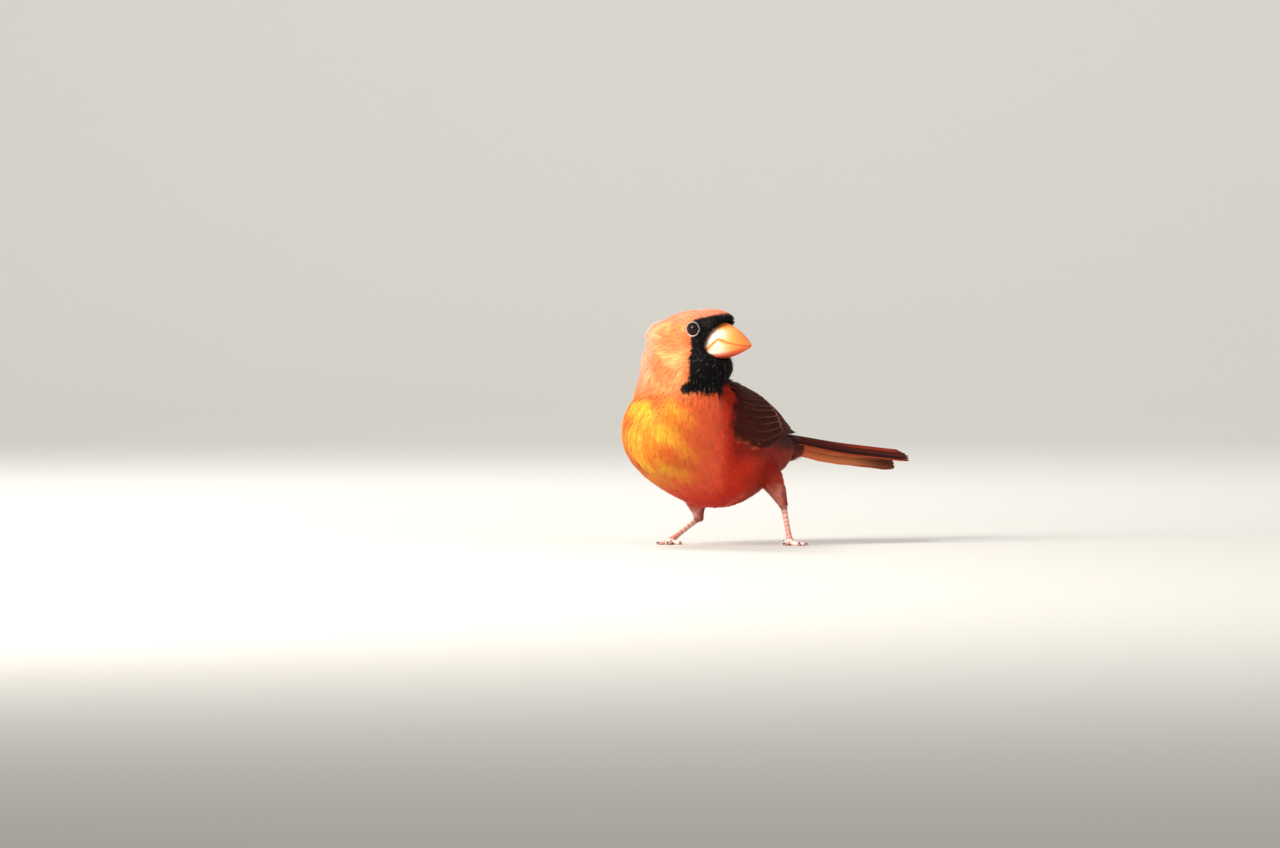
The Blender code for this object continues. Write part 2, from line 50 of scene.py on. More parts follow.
# The mound of skin that carries the eyelids: how far out it sits, its ring and thickness.
MOUND_OUT = 1.2
MOUND_RING = 4.3
MOUND_THICK = 1.5
# The rim of the eyelids: how far out it sits, its ring and thickness.
LID_OUT = 2.05
LID_RING = 3.84
LID_THICK = 0.6

# How deep the coat lies over the skin.
COAT_BODY = 1.45
COAT_HEAD = 0.95
COAT_FACE = 0.45
COAT_THIGH = 0.7
# Round the root of the tail it is this much deeper.
COAT_RUMP = 3.2
SKIN_VOXEL = 0.9
SEAM_FILL = 0.28
BILL_CLEARANCE = 1.25
# The skin under the coat is this much darker than the feathers that grow from it, as painted shade for
# the depth between the feathers.
SKIN_SHADE = 0.75

# Folded wing stations from shoulder to tip, for the left wing:
# lower edge y, x, z, then upper edge y, x, z, then the outward bulge.
WING = (
    (-15.0, 27.2, 55.5, -9.0, 20.0, 72.5, 2.6),
    (0.0, 29.6, 50.0, 4.0, 13.5, 80.5, 4.6),
    (16.0, 28.8, 48.0, 17.0, 9.5, 78.5, 5.6),
    (31.0, 24.0, 51.0, 32.0, 7.6, 73.5, 5.2),
    (44.0, 17.5, 53.4, 44.0, 5.2, 66.0, 3.8),
    (55.0, 11.0, 53.4, 55.0, 3.6, 59.6, 1.9),
    (63.5, 6.8, 54.0, 63.5, 3.8, 56.0, 0.4),
)

# The tail, as in the solids.
TAIL_ROOT = np.array((0.6, 46.0, 53.0))
TAIL_LENGTH = 86.5
TAIL_YAW = radians(8)
TAIL_FALL = radians(6)
TAIL_RIDGE = 1.6
# Each half of the tail: width at root and tip, drop of its edge at root and tip, rounding.
TAIL_LEFT = (7.6, 10.6, 4.0, 5.6, 5.0)
TAIL_RIGHT = (6.6, 7.0, 7.6, 10.4, 2.5)

# Legs, as in the solids: knee, radius of the calf, ankle, foot joint, the way the foot points,
# and 1 for the left side or -1 for the right.
LEGS = {
    "left": {"knee": np.array((21.6, 31.4, 27.6)), "calf": 4.9, "ankle": np.array((25.6, 32.4, 19.0)),
             "foot": np.array((40.8, 20.8, 1.75)), "heading": radians(60), "side": 1},
    "right": {"knee": np.array((-10.8, 9.4, 17.6)), "calf": 3.7, "ankle": np.array((-12.4, 12.4, 12.4)),
              "foot": np.array((-10.6, -9.8, 1.75)), "heading": radians(40), "side": -1},
}
# Toes: the angle of each from the foot's heading, and its length.
TOES = (
    ("middle", radians(2), 13.5),
    ("inner", radians(-34), 9.0),
    ("outer", radians(30), 10.0),
    ("hallux", radians(182), 8.2),
)

# The camera: its turn round the bird from the front, its height angle, and its lens.
CAMERA_TURN = radians(44)
CAMERA_RISE = radians(1.2)
CAMERA_LENS = 300.0
CAMERA_SENSOR = 36.0
FRAME_WIDTH = 624.4
# The middle of the picture, in the bird's axes.
CAMERA_AIM = np.array((-14.1, -27.5, 59.0))
# Level directions seen from the camera: towards it, and to the right across the picture.
TOWARD = np.array((sin(CAMERA_TURN), -cos(CAMERA_TURN), 0.0))
ACROSS = np.array((cos(CAMERA_TURN), sin(CAMERA_TURN), 0.0))

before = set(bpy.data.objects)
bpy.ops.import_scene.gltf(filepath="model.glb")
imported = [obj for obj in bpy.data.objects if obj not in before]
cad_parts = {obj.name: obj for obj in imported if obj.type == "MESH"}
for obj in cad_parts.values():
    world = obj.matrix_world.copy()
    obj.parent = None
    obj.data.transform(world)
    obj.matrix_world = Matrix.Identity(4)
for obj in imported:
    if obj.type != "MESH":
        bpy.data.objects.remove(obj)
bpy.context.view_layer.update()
bpy.context.scene.view_settings.view_transform = "Standard"


# Numbers and colours --------------------------------------------------------------------


def linear(hex_colour):
    """An sRGB hex colour as the linear values that shaders take."""
    parts = [int(hex_colour[start:start + 2], 16) / 255 for start in (1, 3, 5)]
    return np.array([c / 12.92 if c <= 0.04045 else ((c + 0.055) / 1.055) ** 2.4 for c in parts])


def ease(value, low, high):
    """0 below low, 1 above high, and a smooth rise between."""
    t = np.clip((value - low) / (high - low), 0.0, 1.0)
    return t * t * (3 - 2 * t)


def fade(value, low, high):
    """1 below low, 0 above high, and a smooth fall between."""
    return 1 - ease(value, low, high)


def unit(vectors):
    return vectors / np.maximum(np.linalg.norm(vectors, axis=-1, keepdims=True), 1e-9)


def distance(points, place):
    return np.linalg.norm(points - place, axis=1)


def flatten(vectors, normals):
    """The part of each vector that lies along the surface, at length one."""
    return unit(vectors - normals * np.sum(vectors * normals, axis=-1, keepdims=True))


def blend(a, b, share):
    return a + (b - a) * share


def mix(a, b, amount):
    """The same for rows of colours or directions, with one amount for each row."""
    amount = np.asarray(amount)[..., None]
    return a * (1 - amount) + b * amount


def ripple(points, size, phase=0.0):
    """A smooth unevenness from -1 to 1 whose patches are about `size` millimetres across."""
    x, y, z = (points / size).T
    first = np.sin(1.7 * x + 2.3 * z + 1.1 * np.sin(1.3 * y + phase) + phase)
    second = np.sin(2.1 * y - 1.9 * x + 1.3 * np.sin(1.7 * z + 2 * phase) + 2.2 * phase)
    third = np.sin(2.9 * z + 1.3 * y + 1.2 * np.sin(2.3 * x - phase) + 0.7 * phase)
    return (first + second + third) / 3


def spline_rows(stations, steps):
    """Rows read smoothly through the stations, with `steps` rows to each stretch."""
    table = np.array(stations, float)
    padded = np.vstack([table[:1], table, table[-1:]])
    rows = []
    for index in range(len(table) - 1):
        p, q, r, s = padded[index:index + 4]
        for step in range(steps):
            t = step / steps
            rows.append(0.5 * (2 * q + (r - p) * t + (2 * p - 5 * q + 4 * r - s) * t ** 2
                               + (3 * q - p - 3 * r + s) * t ** 3))
    rows.append(table[-1])
    return np.array(rows)


WING_TABLE = spline_rows(WING, 12)
TAIL_ALONG = (np.array((sin(TAIL_YAW), cos(TAIL_YAW), 0.0)) * cos(TAIL_FALL)
              - UP * sin(TAIL_FALL))
TAIL_ACROSS = unit(np.cross(TAIL_ALONG, UP))
TAIL_RISE = np.cross(TAIL_ACROSS, TAIL_ALONG)


# The bird's axes and the frame's ---------------------------------------------------------


def box_middle(node):
    low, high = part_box(node)
    return np.array((low + high) / 2)


HEAD_RIGHT = unit(box_middle("eye_right") - box_middle("eye_left"))
HEAD_FORWARD = np.cross(UP, HEAD_RIGHT)
BROW = SKULL + HEAD_FORWARD * EYE_FORWARD + UP * EYE_RISE
HOME = BROW - (box_middle("eye_right") + box_middle("eye_left")) / 2 / MM


def to_world(points):
    return (np.asarray(points, float) - HOME) * MM


def to_bird(points):
    return np.asarray(points, float) / MM + HOME


def head_axes(points):
    """Each point's place forward of, right of and above the middle of the head."""
    away = points - SKULL
    return away @ HEAD_FORWARD, away @ HEAD_RIGHT, away[..., 2]


def head_point(forward, right, up):
    return SKULL + HEAD_FORWARD * forward + HEAD_RIGHT * right + UP * up


# Markings -------------------------------------------------------------------------------

RED = linear("#dc341a")
# Painted light: a lighter coral for the breast's lit front.
LIT_CORAL = linear("#ff6c48")
# Painted light: the warmer orange of the lit breast.
LIT_ORANGE = linear("#f0832c")
SCARLET = linear("#dc2e14")
CHEEK = linear("#f08c54")
# Painted highlight: pale yellow glare on the lit neck and cheeks.
PALE_GLARE = linear("#fbc57c")
# Painted highlight: the yellow of sun glare on the breast.
AMBER_GLARE = linear("#ffb83a")
CROWN = linear("#f0966a")
NAPE = linear("#efac90")
# The rear flank's own duller red, used also as painted shade on the side away from the key light.
FLANK_AND_SHADE = linear("#8e1c0e")
BACK = linear("#431910")
RUMP = linear("#47201a")
VENT = linear("#98371f")
THIGH = linear("#d55a42")
MASK = linear("#060405")
SHOULDER = linear("#4c160c")
WING_EDGE = linear("#d85230")
FLECK = linear("#8d8082")
# Painted light: pale pink on the cuff's side towards the key light.
LIT_CUFF = linear("#f2bcae")
# Painted highlight along the fold over the left leg.
FOLD_HIGHLIGHT = linear("#f47a58")
# Painted shade: wine red round the ankle, on the side away from the key light and below the cuff.
ANKLE_SHADE = linear("#7c2c30")
# How many barbs of the black bib are stray pale ones.
FLECK_SHARE = 0.018


# The black mask and bib, from the middle of the head: how far forward their rear edge lies at
# each height, the height of the mask's top by the eye, and the height of the bib's foot.
MASK_HEIGHTS = (-31, -29, -26, -23, -16.6, -10, -2, 0, 3, 9)
MASK_REAR = (14, 9.5, 8.0, 10.8, 10.6, 9.6, 8.6, 9.4, 10.6, 10.2)
MASK_TOP = 7.9
BIB_BOTTOM = -29.0


def mask_depth(points):
    """How far inside the black mask and bib each point lies, in millimetres."""
    forward, right, up = head_axes(points)
    rear = np.interp(up, MASK_HEIGHTS, MASK_REAR)
    top = MASK_TOP + 0.24 * (forward - 10.1)
    bottom = BIB_BOTTOM + 4.0 * ease(-right, 3, 9)
    bottom = bottom + 0.9 * np.sin(right * 0.9) + 0.6 * np.sin(right * 2.3 + 1.0)
    inside = np.minimum(np.minimum(forward - rear, top - up), up - bottom)
    return inside + 0.45 * ripple(points, 1.1, 0.7)


def wing_share(points):
    """How far each place belongs to the shoulder of a folded wing, and to its lower edge."""
    x, y, z = points.T
    low_y, low_x, low_z, high_y, high_x, high_z, _ = WING_TABLE.T
    low = np.interp(y, low_y, low_z)
    high = np.interp(y, high_y, high_z)
    outer = np.interp(y, low_y, low_x)
    inner = np.interp(y, high_y, high_x)
    line = blend(inner, outer, np.clip((high - z) / (high - low), 0, 1))
    front = y + 6.0 - 9.0 * ease(z, 56, 76) + 1.2 * ripple(points, 5.0, 1.9)
    share = ease(front, -1.5, 2.0) * fade(z - high, 0.5, 3.0) * ease(np.abs(x) - line, -6, -3)
    edge = z - low + 0.5 * ripple(points, 3.0, 0.4)
    share = share * ease(edge, -1.0, 0.4)
    return share, share * fade(edge, 0.4, 1.4) * fade(y, 11, 18)


def plumage(points):
    """The colour of the feathers at each place on the bird."""
    x, y, z = points.T
    forward, _, up = head_axes(points)
    patch = ripple(points, 7.0, 0.3)
    fine = ripple(points, 2.6, 1.3)
    streak = ripple(points * np.array((1.0, 1.0, 0.3)), 3.4, 0.9)
    across = x * ACROSS[0] + y * ACROSS[1]
    # Painted light: a patchy glare of sun over the breast, on the side towards the key light.
    sun_glare = fade(across, -18, 2) * fade(y, -14, 2)
    sun_glare = sun_glare * (0.45 + 0.55 * ease(across, -38, -30))
    sun_glare = sun_glare * ease(z + 2.0 * streak, 23, 38) * fade(z, 66, 78)
    # Painted light: the breast's front and its side towards the key light are made warmer orange.
    warm = fade(across, -6, 12) * ease(z, 22, 44) * fade(y, -10, 6)
    # Painted light: the front of the breast, towards the key light, is made a lighter coral.
    front = fade(across, 7, 15) * ease(z, 16, 30) * fade(y, -8, 6)
    # Painted shade: the body's side away from the key light, under the wing, is darkened.
    side = ease(across, 11, 19) * ease(x, 6, 14) * ease(z, 36, 46) * fade(z, 66, 74)
    above = ease(z, 60, 72) * ease(y, 6, 16) * fade(z, 84, 92)
    neck = ease(z - 9.0 * ease(across, -6, 6), 66, 76) * fade(y, 2, 14)
    lit = ease(patch + 0.5 * fine, -0.25, 0.75) * ease(z, 72, 84) * fade(up, 6, 11)
    rim = ease(mask_depth(points), -6.0, -0.5) * ease(z, 70, 80)
    # A painted highlight: a pale edge where the feathers fold over the top of the left leg.
    crease = np.exp(-((z - 19.1 - 0.634 * (across - 12.2)) / 0.55) ** 2)
    crease = crease * ease(across, 11, 14) * fade(across, 20.5, 23.5) * ease(x, -6, 2)
    layers = [
        # Painted light: lighter coral on the breast's lit front.
        (LIT_CORAL, front * 0.8),
        # Painted light: a warm orange over the lit breast and its glare.
        (LIT_ORANGE, np.clip(warm * (0.4 + 0.2 * streak) + sun_glare * 0.5, 0, 1)),
        # Painted highlight: amber glare in the brightest sunlit patches of the breast.
        (AMBER_GLARE, sun_glare * ease(patch + 0.6 * streak, -0.8, 0.4) * 0.92),
        (SCARLET, fade(z, 20, 36) * 0.6),
        # The rear flank's duller red, and painted shade on the side away from the key light.
        (FLANK_AND_SHADE, np.maximum(ease(y, 2, 26), side) * 0.85),
        (VENT, ease(y, 36, 52) * fade(z, 44, 54)),
        (BACK, above),
        (RUMP, ease(y, 20, 36) * ease(z + 0.1 * y, 47, 54)),
        (THIGH, ease(y, 24, 30) * fade(z, 26, 38) * 0.8),
        (THIGH, fade(z, 18, 25) * fade(x, -6, -2) * 0.8),
        (CHEEK, neck),
        (CROWN, ease(up, 3, 9) * ease(z, 90, 100)),
        (RED, rim * 0.22),
        # Painted highlight: pale glare on lit patches of the neck and cheeks.
        (PALE_GLARE, lit * (1 - 0.8 * rim) * fade(y, 2, 14) * 0.6),
        (NAPE, ease(-forward, 6, 18) * ease(z, 70, 84) * 0.75),
        # Painted highlight along the fold over the left leg.
        (FOLD_HIGHLIGHT, crease * 0.8),
    ]
    # Round each ankle the coat is painted light, pale, on the side towards the key light, and painted
    # shade, wine red, on the side away from it.
    for leg in LEGS.values():
        near = fade(distance(points, leg["ankle"]), 6, 11)
        behind = ease(across - leg["ankle"][:2] @ ACROSS[:2], -1.2, 1.6)
        pale = 0.8 if leg["side"] < 0 else 0.35
        layers += [(LIT_CUFF, near * (1 - behind) * pale), (ANKLE_SHADE, near * behind * 0.5)]
    colour = RED
    for tint, share in layers:
        colour = mix(colour, tint, share)
    # A line of shadow where the ruff of the neck lies over the breast.
    fold = np.exp(-((z - 71.0 - 0.12 * x - 0.8 * patch) / 0.9) ** 2) * fade(y, -6, 2)
    colour = colour * (1 - 0.30 * fold * fade(x, 4, 14))[:, None]
    shoulder, edge = wing_share(points)
    colour = mix(colour, SHOULDER, shoulder)
    colour = mix(colour, WING_EDGE, edge)
    colour = colour * (1 + 0.08 * patch[:, None])
    return mix(colour, MASK, ease(mask_depth(points), -0.35, 0.35))


# Meshes ---------------------------------------------------------------------------------


def dye(mesh, colours):
    """Give each point of a mesh its colour."""
    rows = np.column_stack([np.clip(colours, 0, 1), np.ones(len(colours))])
    layer = mesh.color_attributes.new("dye", "FLOAT_COLOR", "POINT")
    layer.data.foreach_set("color", rows.ravel())


def lay_uvs(mesh, name, uvs):
    mesh.uv_layers.new(name=name).data.foreach_set("uv", uvs.ravel())


def make_mesh(name, points, loops, totals, colours, uvs=None, normals=None):
    """A mesh straight from arrays: points in bird millimetres, and faces as one run of
    corner indices with the number of corners of each face."""
    mesh = bpy.data.meshes.new(name)
    mesh.vertices.add(len(points))
    mesh.vertices.foreach_set("co", to_world(points).ravel())
    mesh.loops.add(len(loops))
    mesh.loops.foreach_set("vertex_index", loops)
    mesh.polygons.add(len(totals))
    mesh.polygons.foreach_set("loop_start", np.concatenate(([0], np.cumsum(totals)[:-1])))
    mesh.polygons.foreach_set("loop_total", totals)
    mesh.update(calc_edges=True)
    mesh.polygons.foreach_set("use_smooth", np.full(len(totals), True))
    dye(mesh, colours)
    if uvs is not None:
        lay_uvs(mesh, "OFBake", uvs)
    mesh.validate()
    if normals is not None:
        mesh.normals_split_custom_set_from_vertices(normals)
    return mesh


def add_object(name, data):
    piece = bpy.data.objects.new(name, data)
    bpy.context.scene.collection.objects.link(piece)
    return piece


def dress(piece, finish, replaced=()):
    """Give a piece its finish, body and slot, and hide the CAD nodes it stands for."""
    piece.data.materials.clear()
    piece.data.materials.append(finish)
    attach(piece, "root")
    if replaced:
        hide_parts(*replaced)


def only(piece):
    """Select one object and nothing else, as the operators need."""
    bpy.ops.object.select_all(action="DESELECT")
    piece.select_set(True)
    bpy.context.view_layer.objects.active = piece


def edit(piece, operator, **settings):
    """Use an edit-mode operator on all of a piece."""
    only(piece)
    bpy.ops.object.mode_set(mode="EDIT")
    bpy.ops.mesh.select_all(action="SELECT")
    operator(**settings)
    bpy.ops.object.mode_set(mode="OBJECT")


def smooth(piece):
    only(piece)
    bpy.ops.object.shade_smooth()


def add_round(name, operator, middle, axis, **sizes):
    """A sphere or ring round an axis, placed in the bird's millimetres."""
    bpy.ops.object.select_all(action="DESELECT")
    turn = Vector(axis).to_track_quat("Z", "Y").to_euler()
    operator(location=to_world(middle), rotation=turn, **sizes)
    bpy.ops.object.transform_apply(location=True, rotation=True, scale=True)
    bpy.ops.object.shade_smooth()
    piece = bpy.context.active_object
    piece.name = piece.data.name = name
    return piece


def node_copy(node, name="part"):
    """A merged copy of a CAD node, to shape further."""
    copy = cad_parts[node].copy()
    copy.data = copy.data.copy()
    copy.name = copy.data.name = name
    copy.parent = None
    for key in list(copy.keys()):
        del copy[key]
    bpy.context.scene.collection.objects.link(copy)
    edit(copy, bpy.ops.mesh.remove_doubles, threshold=0.00001)
    copy.data.materials.clear()
    return copy


def join(pieces, name):
    only(pieces[0])
    for piece in pieces:
        piece.select_set(True)
    bpy.ops.object.join()
    pieces[0].name = pieces[0].data.name = name
    return pieces[0]


def modify(piece, kind, **settings):
    """Add a modifier with its settings and apply it."""
    only(piece)
    modifier = piece.modifiers.new(kind.lower(), kind)
    for name, value in settings.items():
        setattr(modifier, name, value)
    bpy.ops.object.modifier_apply(modifier=modifier.name)


def remesh(piece, voxel, passes):
    """Rebuild a piece as one even closed mesh and smooth it."""
    modify(piece, "REMESH", mode="VOXEL", voxel_size=voxel * MM)
    modify(piece, "SMOOTH", factor=0.5, iterations=passes)


def read_rows(items, field, width, kind=np.float32):
    """One value of each item of a mesh, as rows."""
    rows = np.empty(len(items) * width, kind)
    items.foreach_get(field, rows)
    return rows.reshape(-1, width)


def read_points(piece):
    return to_bird(read_rows(piece.data.vertices, "co", 3))


def write_points(piece, points):
    piece.data.vertices.foreach_set("co", to_world(points).ravel())
    piece.data.update()


def read_normals(piece):
    return read_rows(piece.data.vertex_normals, "vector", 3)


def swell(piece, amount):
    """Move each point of a piece outwards, or inwards where the amount is below 0."""
    write_points(piece, read_points(piece) + read_normals(piece) * amount)


# Materials ------------------------------------------------------------------------------


def add_node(tree, kind, settings=None, links=None):
    """Add a node, set its sockets or properties by name, and link its inputs."""
    node = tree.nodes.new("ShaderNode" + kind)
    for name, value in (settings or {}).items():
        if isinstance(name, int) or name in node.inputs:
            node.inputs[name].default_value = value
        else:
            setattr(node, name, value)
    for name, source in (links or {}).items():
        tree.links.new(source, node.inputs[name])
    return node


def new_finish(name, **sockets):
    """A material with its main shader, whose unchanging values are set on its own sockets."""
    finish = bpy.data.materials.new(name)
    finish.use_nodes = True
    tree = finish.node_tree
    shader = tree.nodes["Principled BSDF"]
    for socket, value in sockets.items():
        shader.inputs[socket.replace("_", " ")].default_value = value
    return finish, tree, shader


def take_dye(tree, shader, shade, height, strength, relief):
    """Colour a shader from the mesh, lighter and darker by `shade`, and raise it by `height`."""
    colour = add_node(tree, "Attribute", {"attribute_name": "dye"})
    tint = add_node(tree, "VectorMath", {"operation": "SCALE"},
                    {0: colour.outputs["Color"], "Scale": shade.outputs["Result"]})
    tree.links.new(tint.outputs["Vector"], shader.inputs["Base Color"])
    if relief:
        bump = add_node(tree, "Bump", {"Strength": strength, "Distance": relief * MM},
                        {"Height": height})
        tree.links.new(bump.outputs["Normal"], shader.inputs["Normal"])


def dyed_finish(name, grain, spread, relief=0.0, stretch=(1.0, 1.0, 1.0), **sockets):
    """A finish that takes its colour from the mesh, made uneven by a grain in millimetres."""
    finish, tree, shader = new_finish(name, **sockets)
    place = add_node(tree, "TexCoord")
    drawn_out = add_node(tree, "Mapping", {"Scale": stretch}, {"Vector": place.outputs["Object"]})
    noise = add_node(tree, "TexNoise", {"Scale": 1 / (grain * MM), "Detail": 3.0},
                     {"Vector": drawn_out.outputs["Vector"]})
    shade = add_node(tree, "MapRange", {"To Min": 1 - spread, "To Max": 1 + spread},
                     {"Value": noise.outputs["Fac"]})
    take_dye(tree, shader, shade, noise.outputs["Fac"], 0.5, relief)
    return finish


# Loose feather barbs: dull and soft, a little uneven in colour from barb to barb.
DOWN = dyed_finish("contour_feather_barbs", 0.9, 0.16, Roughness=0.62, Sheen_Weight=0.02,
                   Specular_IOR_Level=0.12)
# Bare skin under the coat, seen only as depth between the feathers.
SKIN = dyed_finish("feathered_skin", 1.5, 0.2, Roughness=0.8, Specular_IOR_Level=0.2)
# Bill sheath: smooth living horn, a little translucent, with faint growth lines along it.
BILL = dyed_finish("bill_horn", 0.5, 0.07, relief=0.03, stretch=(0.25, 0.25, 1.6), Roughness=0.3,
                   Subsurface_Weight=0.18, Subsurface_Scale=0.0015, Coat_Weight=0.12,
                   Coat_Roughness=0.2)
# Eyeball under its wet clear cornea.
CORNEA = dyed_finish("wet_cornea", 0.35, 0.2, Roughness=0.3, Specular_IOR_Level=0.05,
                     Coat_Weight=0.3, Coat_Roughness=0.02)
# Bare rim of the eyelids: thin, pale, finely creased skin.
LID = dyed_finish("eyelid_skin", 0.25, 0.25, relief=0.05, Roughness=0.5)
# Scaled skin of shank and toes: dry pinkish-brown plates with a slight waxy gloss.
SCALES = dyed_finish("leg_scales", 0.4, 0.12, relief=0.05, Roughness=0.42,
                     Subsurface_Weight=0.08, Subsurface_Scale=0.001)
# Claws: hard dark horn, smooth and glossy.
CLAW = dyed_finish("claw_horn", 0.4, 0.15, relief=0.02, stretch=(1.0, 1.0, 0.4), Roughness=0.28)


# How far apart a vane's barbs are drawn. Real ones are 0.35 mm apart and would hardly show.
BARB_PITCH = 0.45


def vane_finish():
    """Closed feather vanes: fine slanting barbs locked edge to edge, with a low silky gloss."""
    finish, tree, shader = new_finish("flight_feather_vane", Roughness=0.66,
                                      Specular_IOR_Level=0.07)
    across = add_node(tree, "UVMap", {"uv_map": "vane"})
    split = add_node(tree, "SeparateXYZ", {}, {0: across.outputs["UV"]})
    slant = add_node(tree, "Math", {"operation": "ABSOLUTE"}, {0: split.outputs["X"]})
    lean = add_node(tree, "Math", {"operation": "MULTIPLY_ADD", 1: -0.9},
                    {0: slant.outputs[0], 2: split.outputs["Y"]})
    turns = add_node(tree, "Math", {"operation": "MULTIPLY", 1: 2 * pi / BARB_PITCH},
                     {0: lean.outputs[0]})
    wave = add_node(tree, "Math", {"operation": "SINE"}, {0: turns.outputs[0]})
    level = add_node(tree, "MapRange", {"From Min": -1.0, "To Min": 0.82, "To Max": 1.1},
                     {"Value": wave.outputs[0]})
    take_dye(tree, shader, level, wave.outputs[0], 0.35, 0.06)
    return finish


VANE = vane_finish()


# Bill -----------------------------------------------------------------------------------

# Painted highlight: the pale pinkish white on the flanks of the bill's base.
BILL_HIGHLIGHT = linear("#ffe0d2")
BILL_MIDDLE = linear("#fba048")
BILL_TIP = linear("#ee6f2c")
# Painted shade: the darker line in the groove where the two halves meet.
BILL_RIM = linear("#b9493a")
BILL_EDGE = linear("#d63c20")
# The bill's underside and the line where its halves meet, as places forward of and above the
# middle of the head.
BILL_LOW = ((9.0, -7.0), (13.0, -10.2), (17.5, -11.0), (21.5, -10.7), (25.5, -9.8), (29.5, -8.4),
            (33.0, -6.8), (35.4, -5.7), (36.4, -5.0))
BILL_MIDLINE = -2.2
COMMISSURE = ((5.0, -8.5), (14.0, -7.0), (21.6, -1.4), (26.5, -3.2), (31.5, -4.4), (40.0, -5.4))
BILL_VOXEL = 0.26


def make_bill():
    """Upper and lower mandible, smoothed into horn, darker where the two meet."""
    for node, name in (("upper_bill", "upper_mandible"), ("lower_bill", "lower_mandible")):
        half = node_copy(node, name)
        remesh(half, BILL_VOXEL, 16)
        points = read_points(half)
        forward, right, up = head_axes(points)
        meeting = np.abs(up - np.interp(forward, *np.array(COMMISSURE).T))
        growth = 0.14 + 0.1 * fade(meeting, 0.3, 1.5) * fade(forward, 30, 35)
        # Below its middle the bill keeps its width almost to the flat underside.
        low = np.interp(forward, *np.array(BILL_LOW).T)
        down = np.clip((BILL_MIDLINE - up) / (BILL_MIDLINE - low), 0, 0.985)
        square = (1 - down ** 4) ** 0.25 / (1 - down ** 2) ** 0.5
        broad = 1 + 0.95 * (square - 1) * fade(forward, 20, 31)
        shaped = points + read_normals(half) * growth[:, None]
        write_points(half, shaped + HEAD_RIGHT * (right * (broad - 1))[:, None])
        smooth(half)
        # Painted highlight: the flanks of the bill's base are made pale pinkish white, away from the
        # line where the halves meet.
        pale = fade(forward, 18, 29) * ease(meeting, 0.4, 1.8)
        pale = pale * fade(np.abs(up + 3.2), 4.6, 8.0)
        colours = mix(BILL_MIDDLE, BILL_HIGHLIGHT, np.clip(pale * (0.9 + 0.25 * ripple(points, 3.0)), 0, 1))
        under = fade(up - low, 0.8, 3.0)
        colours = mix(colours, BILL_EDGE, np.maximum(under, ease(up, 3.2, 5.6) * 0.5) * 0.9)
        colours = mix(colours, BILL_TIP, ease(forward, 25, 34) * 0.8)
        # Painted shade along the groove where the two halves meet.
        colours = mix(colours, BILL_RIM, fade(meeting, 0.1, 0.8) * 0.6)
        dye(half.data, colours)
        dress(half, BILL, (node,))
        yield half


MANDIBLES = list(make_bill())


# Skin -----------------------------------------------------------------------------------


def nearest_gap(points, tree):
    return np.array([tree.find_nearest(point)[3] for point in points])


def solid_tree(*pieces):
    """A searchable surface of some pieces, in bird millimetres."""
    points = []
    faces = []
    for piece in pieces:
        mesh = piece.data
        start = len(points)
        points += [to_bird(vert.co) for vert in mesh.vertices]
        faces += [[start + i for i in face.vertices] for face in mesh.polygons]
    return BVHTree.FromPolygons([tuple(p) for p in points], faces)


BILL_TREE = solid_tree(*MANDIBLES)
FLESH = ("trunk", "neck", "head", "crest", "thigh_left", "thigh_right")
WINGS = ("wing_left", "wing_right")


def coat_depth(points):
    """How deep the coat is at each place."""
    forward, _, up = head_axes(points)
    _, y, z = points.T
    depth = blend(COAT_BODY, COAT_HEAD, ease(z, 72, 90))
    depth = blend(depth, COAT_FACE, ease(forward, 4, 13) * ease(up, -14, -9))
    depth = depth + COAT_RUMP * ease(y, 50, 60)
    low = fade(z, 14, 24) + ease(y, 25, 29) * fade(z, 22, 34)
    return blend(depth, COAT_THIGH, np.clip(low, 0, 1))


def make_skin():
    """One closed skin under the coat, from the flesh and wing solids grown together."""
    parts = [node_copy(node) for node in FLESH + WINGS]
    for part in parts:
        swell(part, SEAM_FILL)
    # A low mound round each eye, for the lids to sit on.
    for side in (1, -1):
        middle = head_point(EYE_FORWARD, side * (EYE_SIDE + MOUND_OUT), EYE_RISE)
        parts.append(add_round("mound", bpy.ops.mesh.primitive_torus_add, middle, HEAD_RIGHT,
                               major_radius=MOUND_RING * MM, minor_radius=MOUND_THICK * MM))
    skin = join(parts, "skin")
    remesh(skin, SKIN_VOXEL, 6)
    swell(skin, -(coat_depth(read_points(skin)) + SEAM_FILL)[:, None])
    remesh(skin, SKIN_VOXEL, 4)
    keep_largest(skin)
    # The skin draws back from the bill all round, so that the horn's edge shows.
    points = read_points(skin)
    close = fade(nearest_gap(points, BILL_TREE), 0.4, 3.4)
    forward, _, up = head_axes(points)
    close = close * (1 - 0.5 * ease(forward, 13, 19) * fade(up, -9, -6))
    swell(skin, -(BILL_CLEARANCE * close)[:, None])
    smooth(skin)
    # Painted shade: the skin takes the plumage's colours, darkened.
    dye(skin.data, plumage(read_points(skin)) * SKIN_SHADE)
    edit(skin, bpy.ops.uv.smart_project, angle_limit=radians(66), island_margin=0.004)
    skin.data.uv_layers[0].name = "OFBake"
    return skin


def keep_largest(piece):
    """Drop every loose scrap of a mesh but its largest."""
    edit(piece, bpy.ops.mesh.separate, type="LOOSE")
    shells = sorted(bpy.context.selected_objects, key=lambda obj: -len(obj.data.vertices))
    if piece is not shells[0]:
        piece.data = shells[0].data
    for scrap in shells:
        if scrap is not piece:
            bpy.data.objects.remove(scrap, do_unlink=True)
    only(piece)


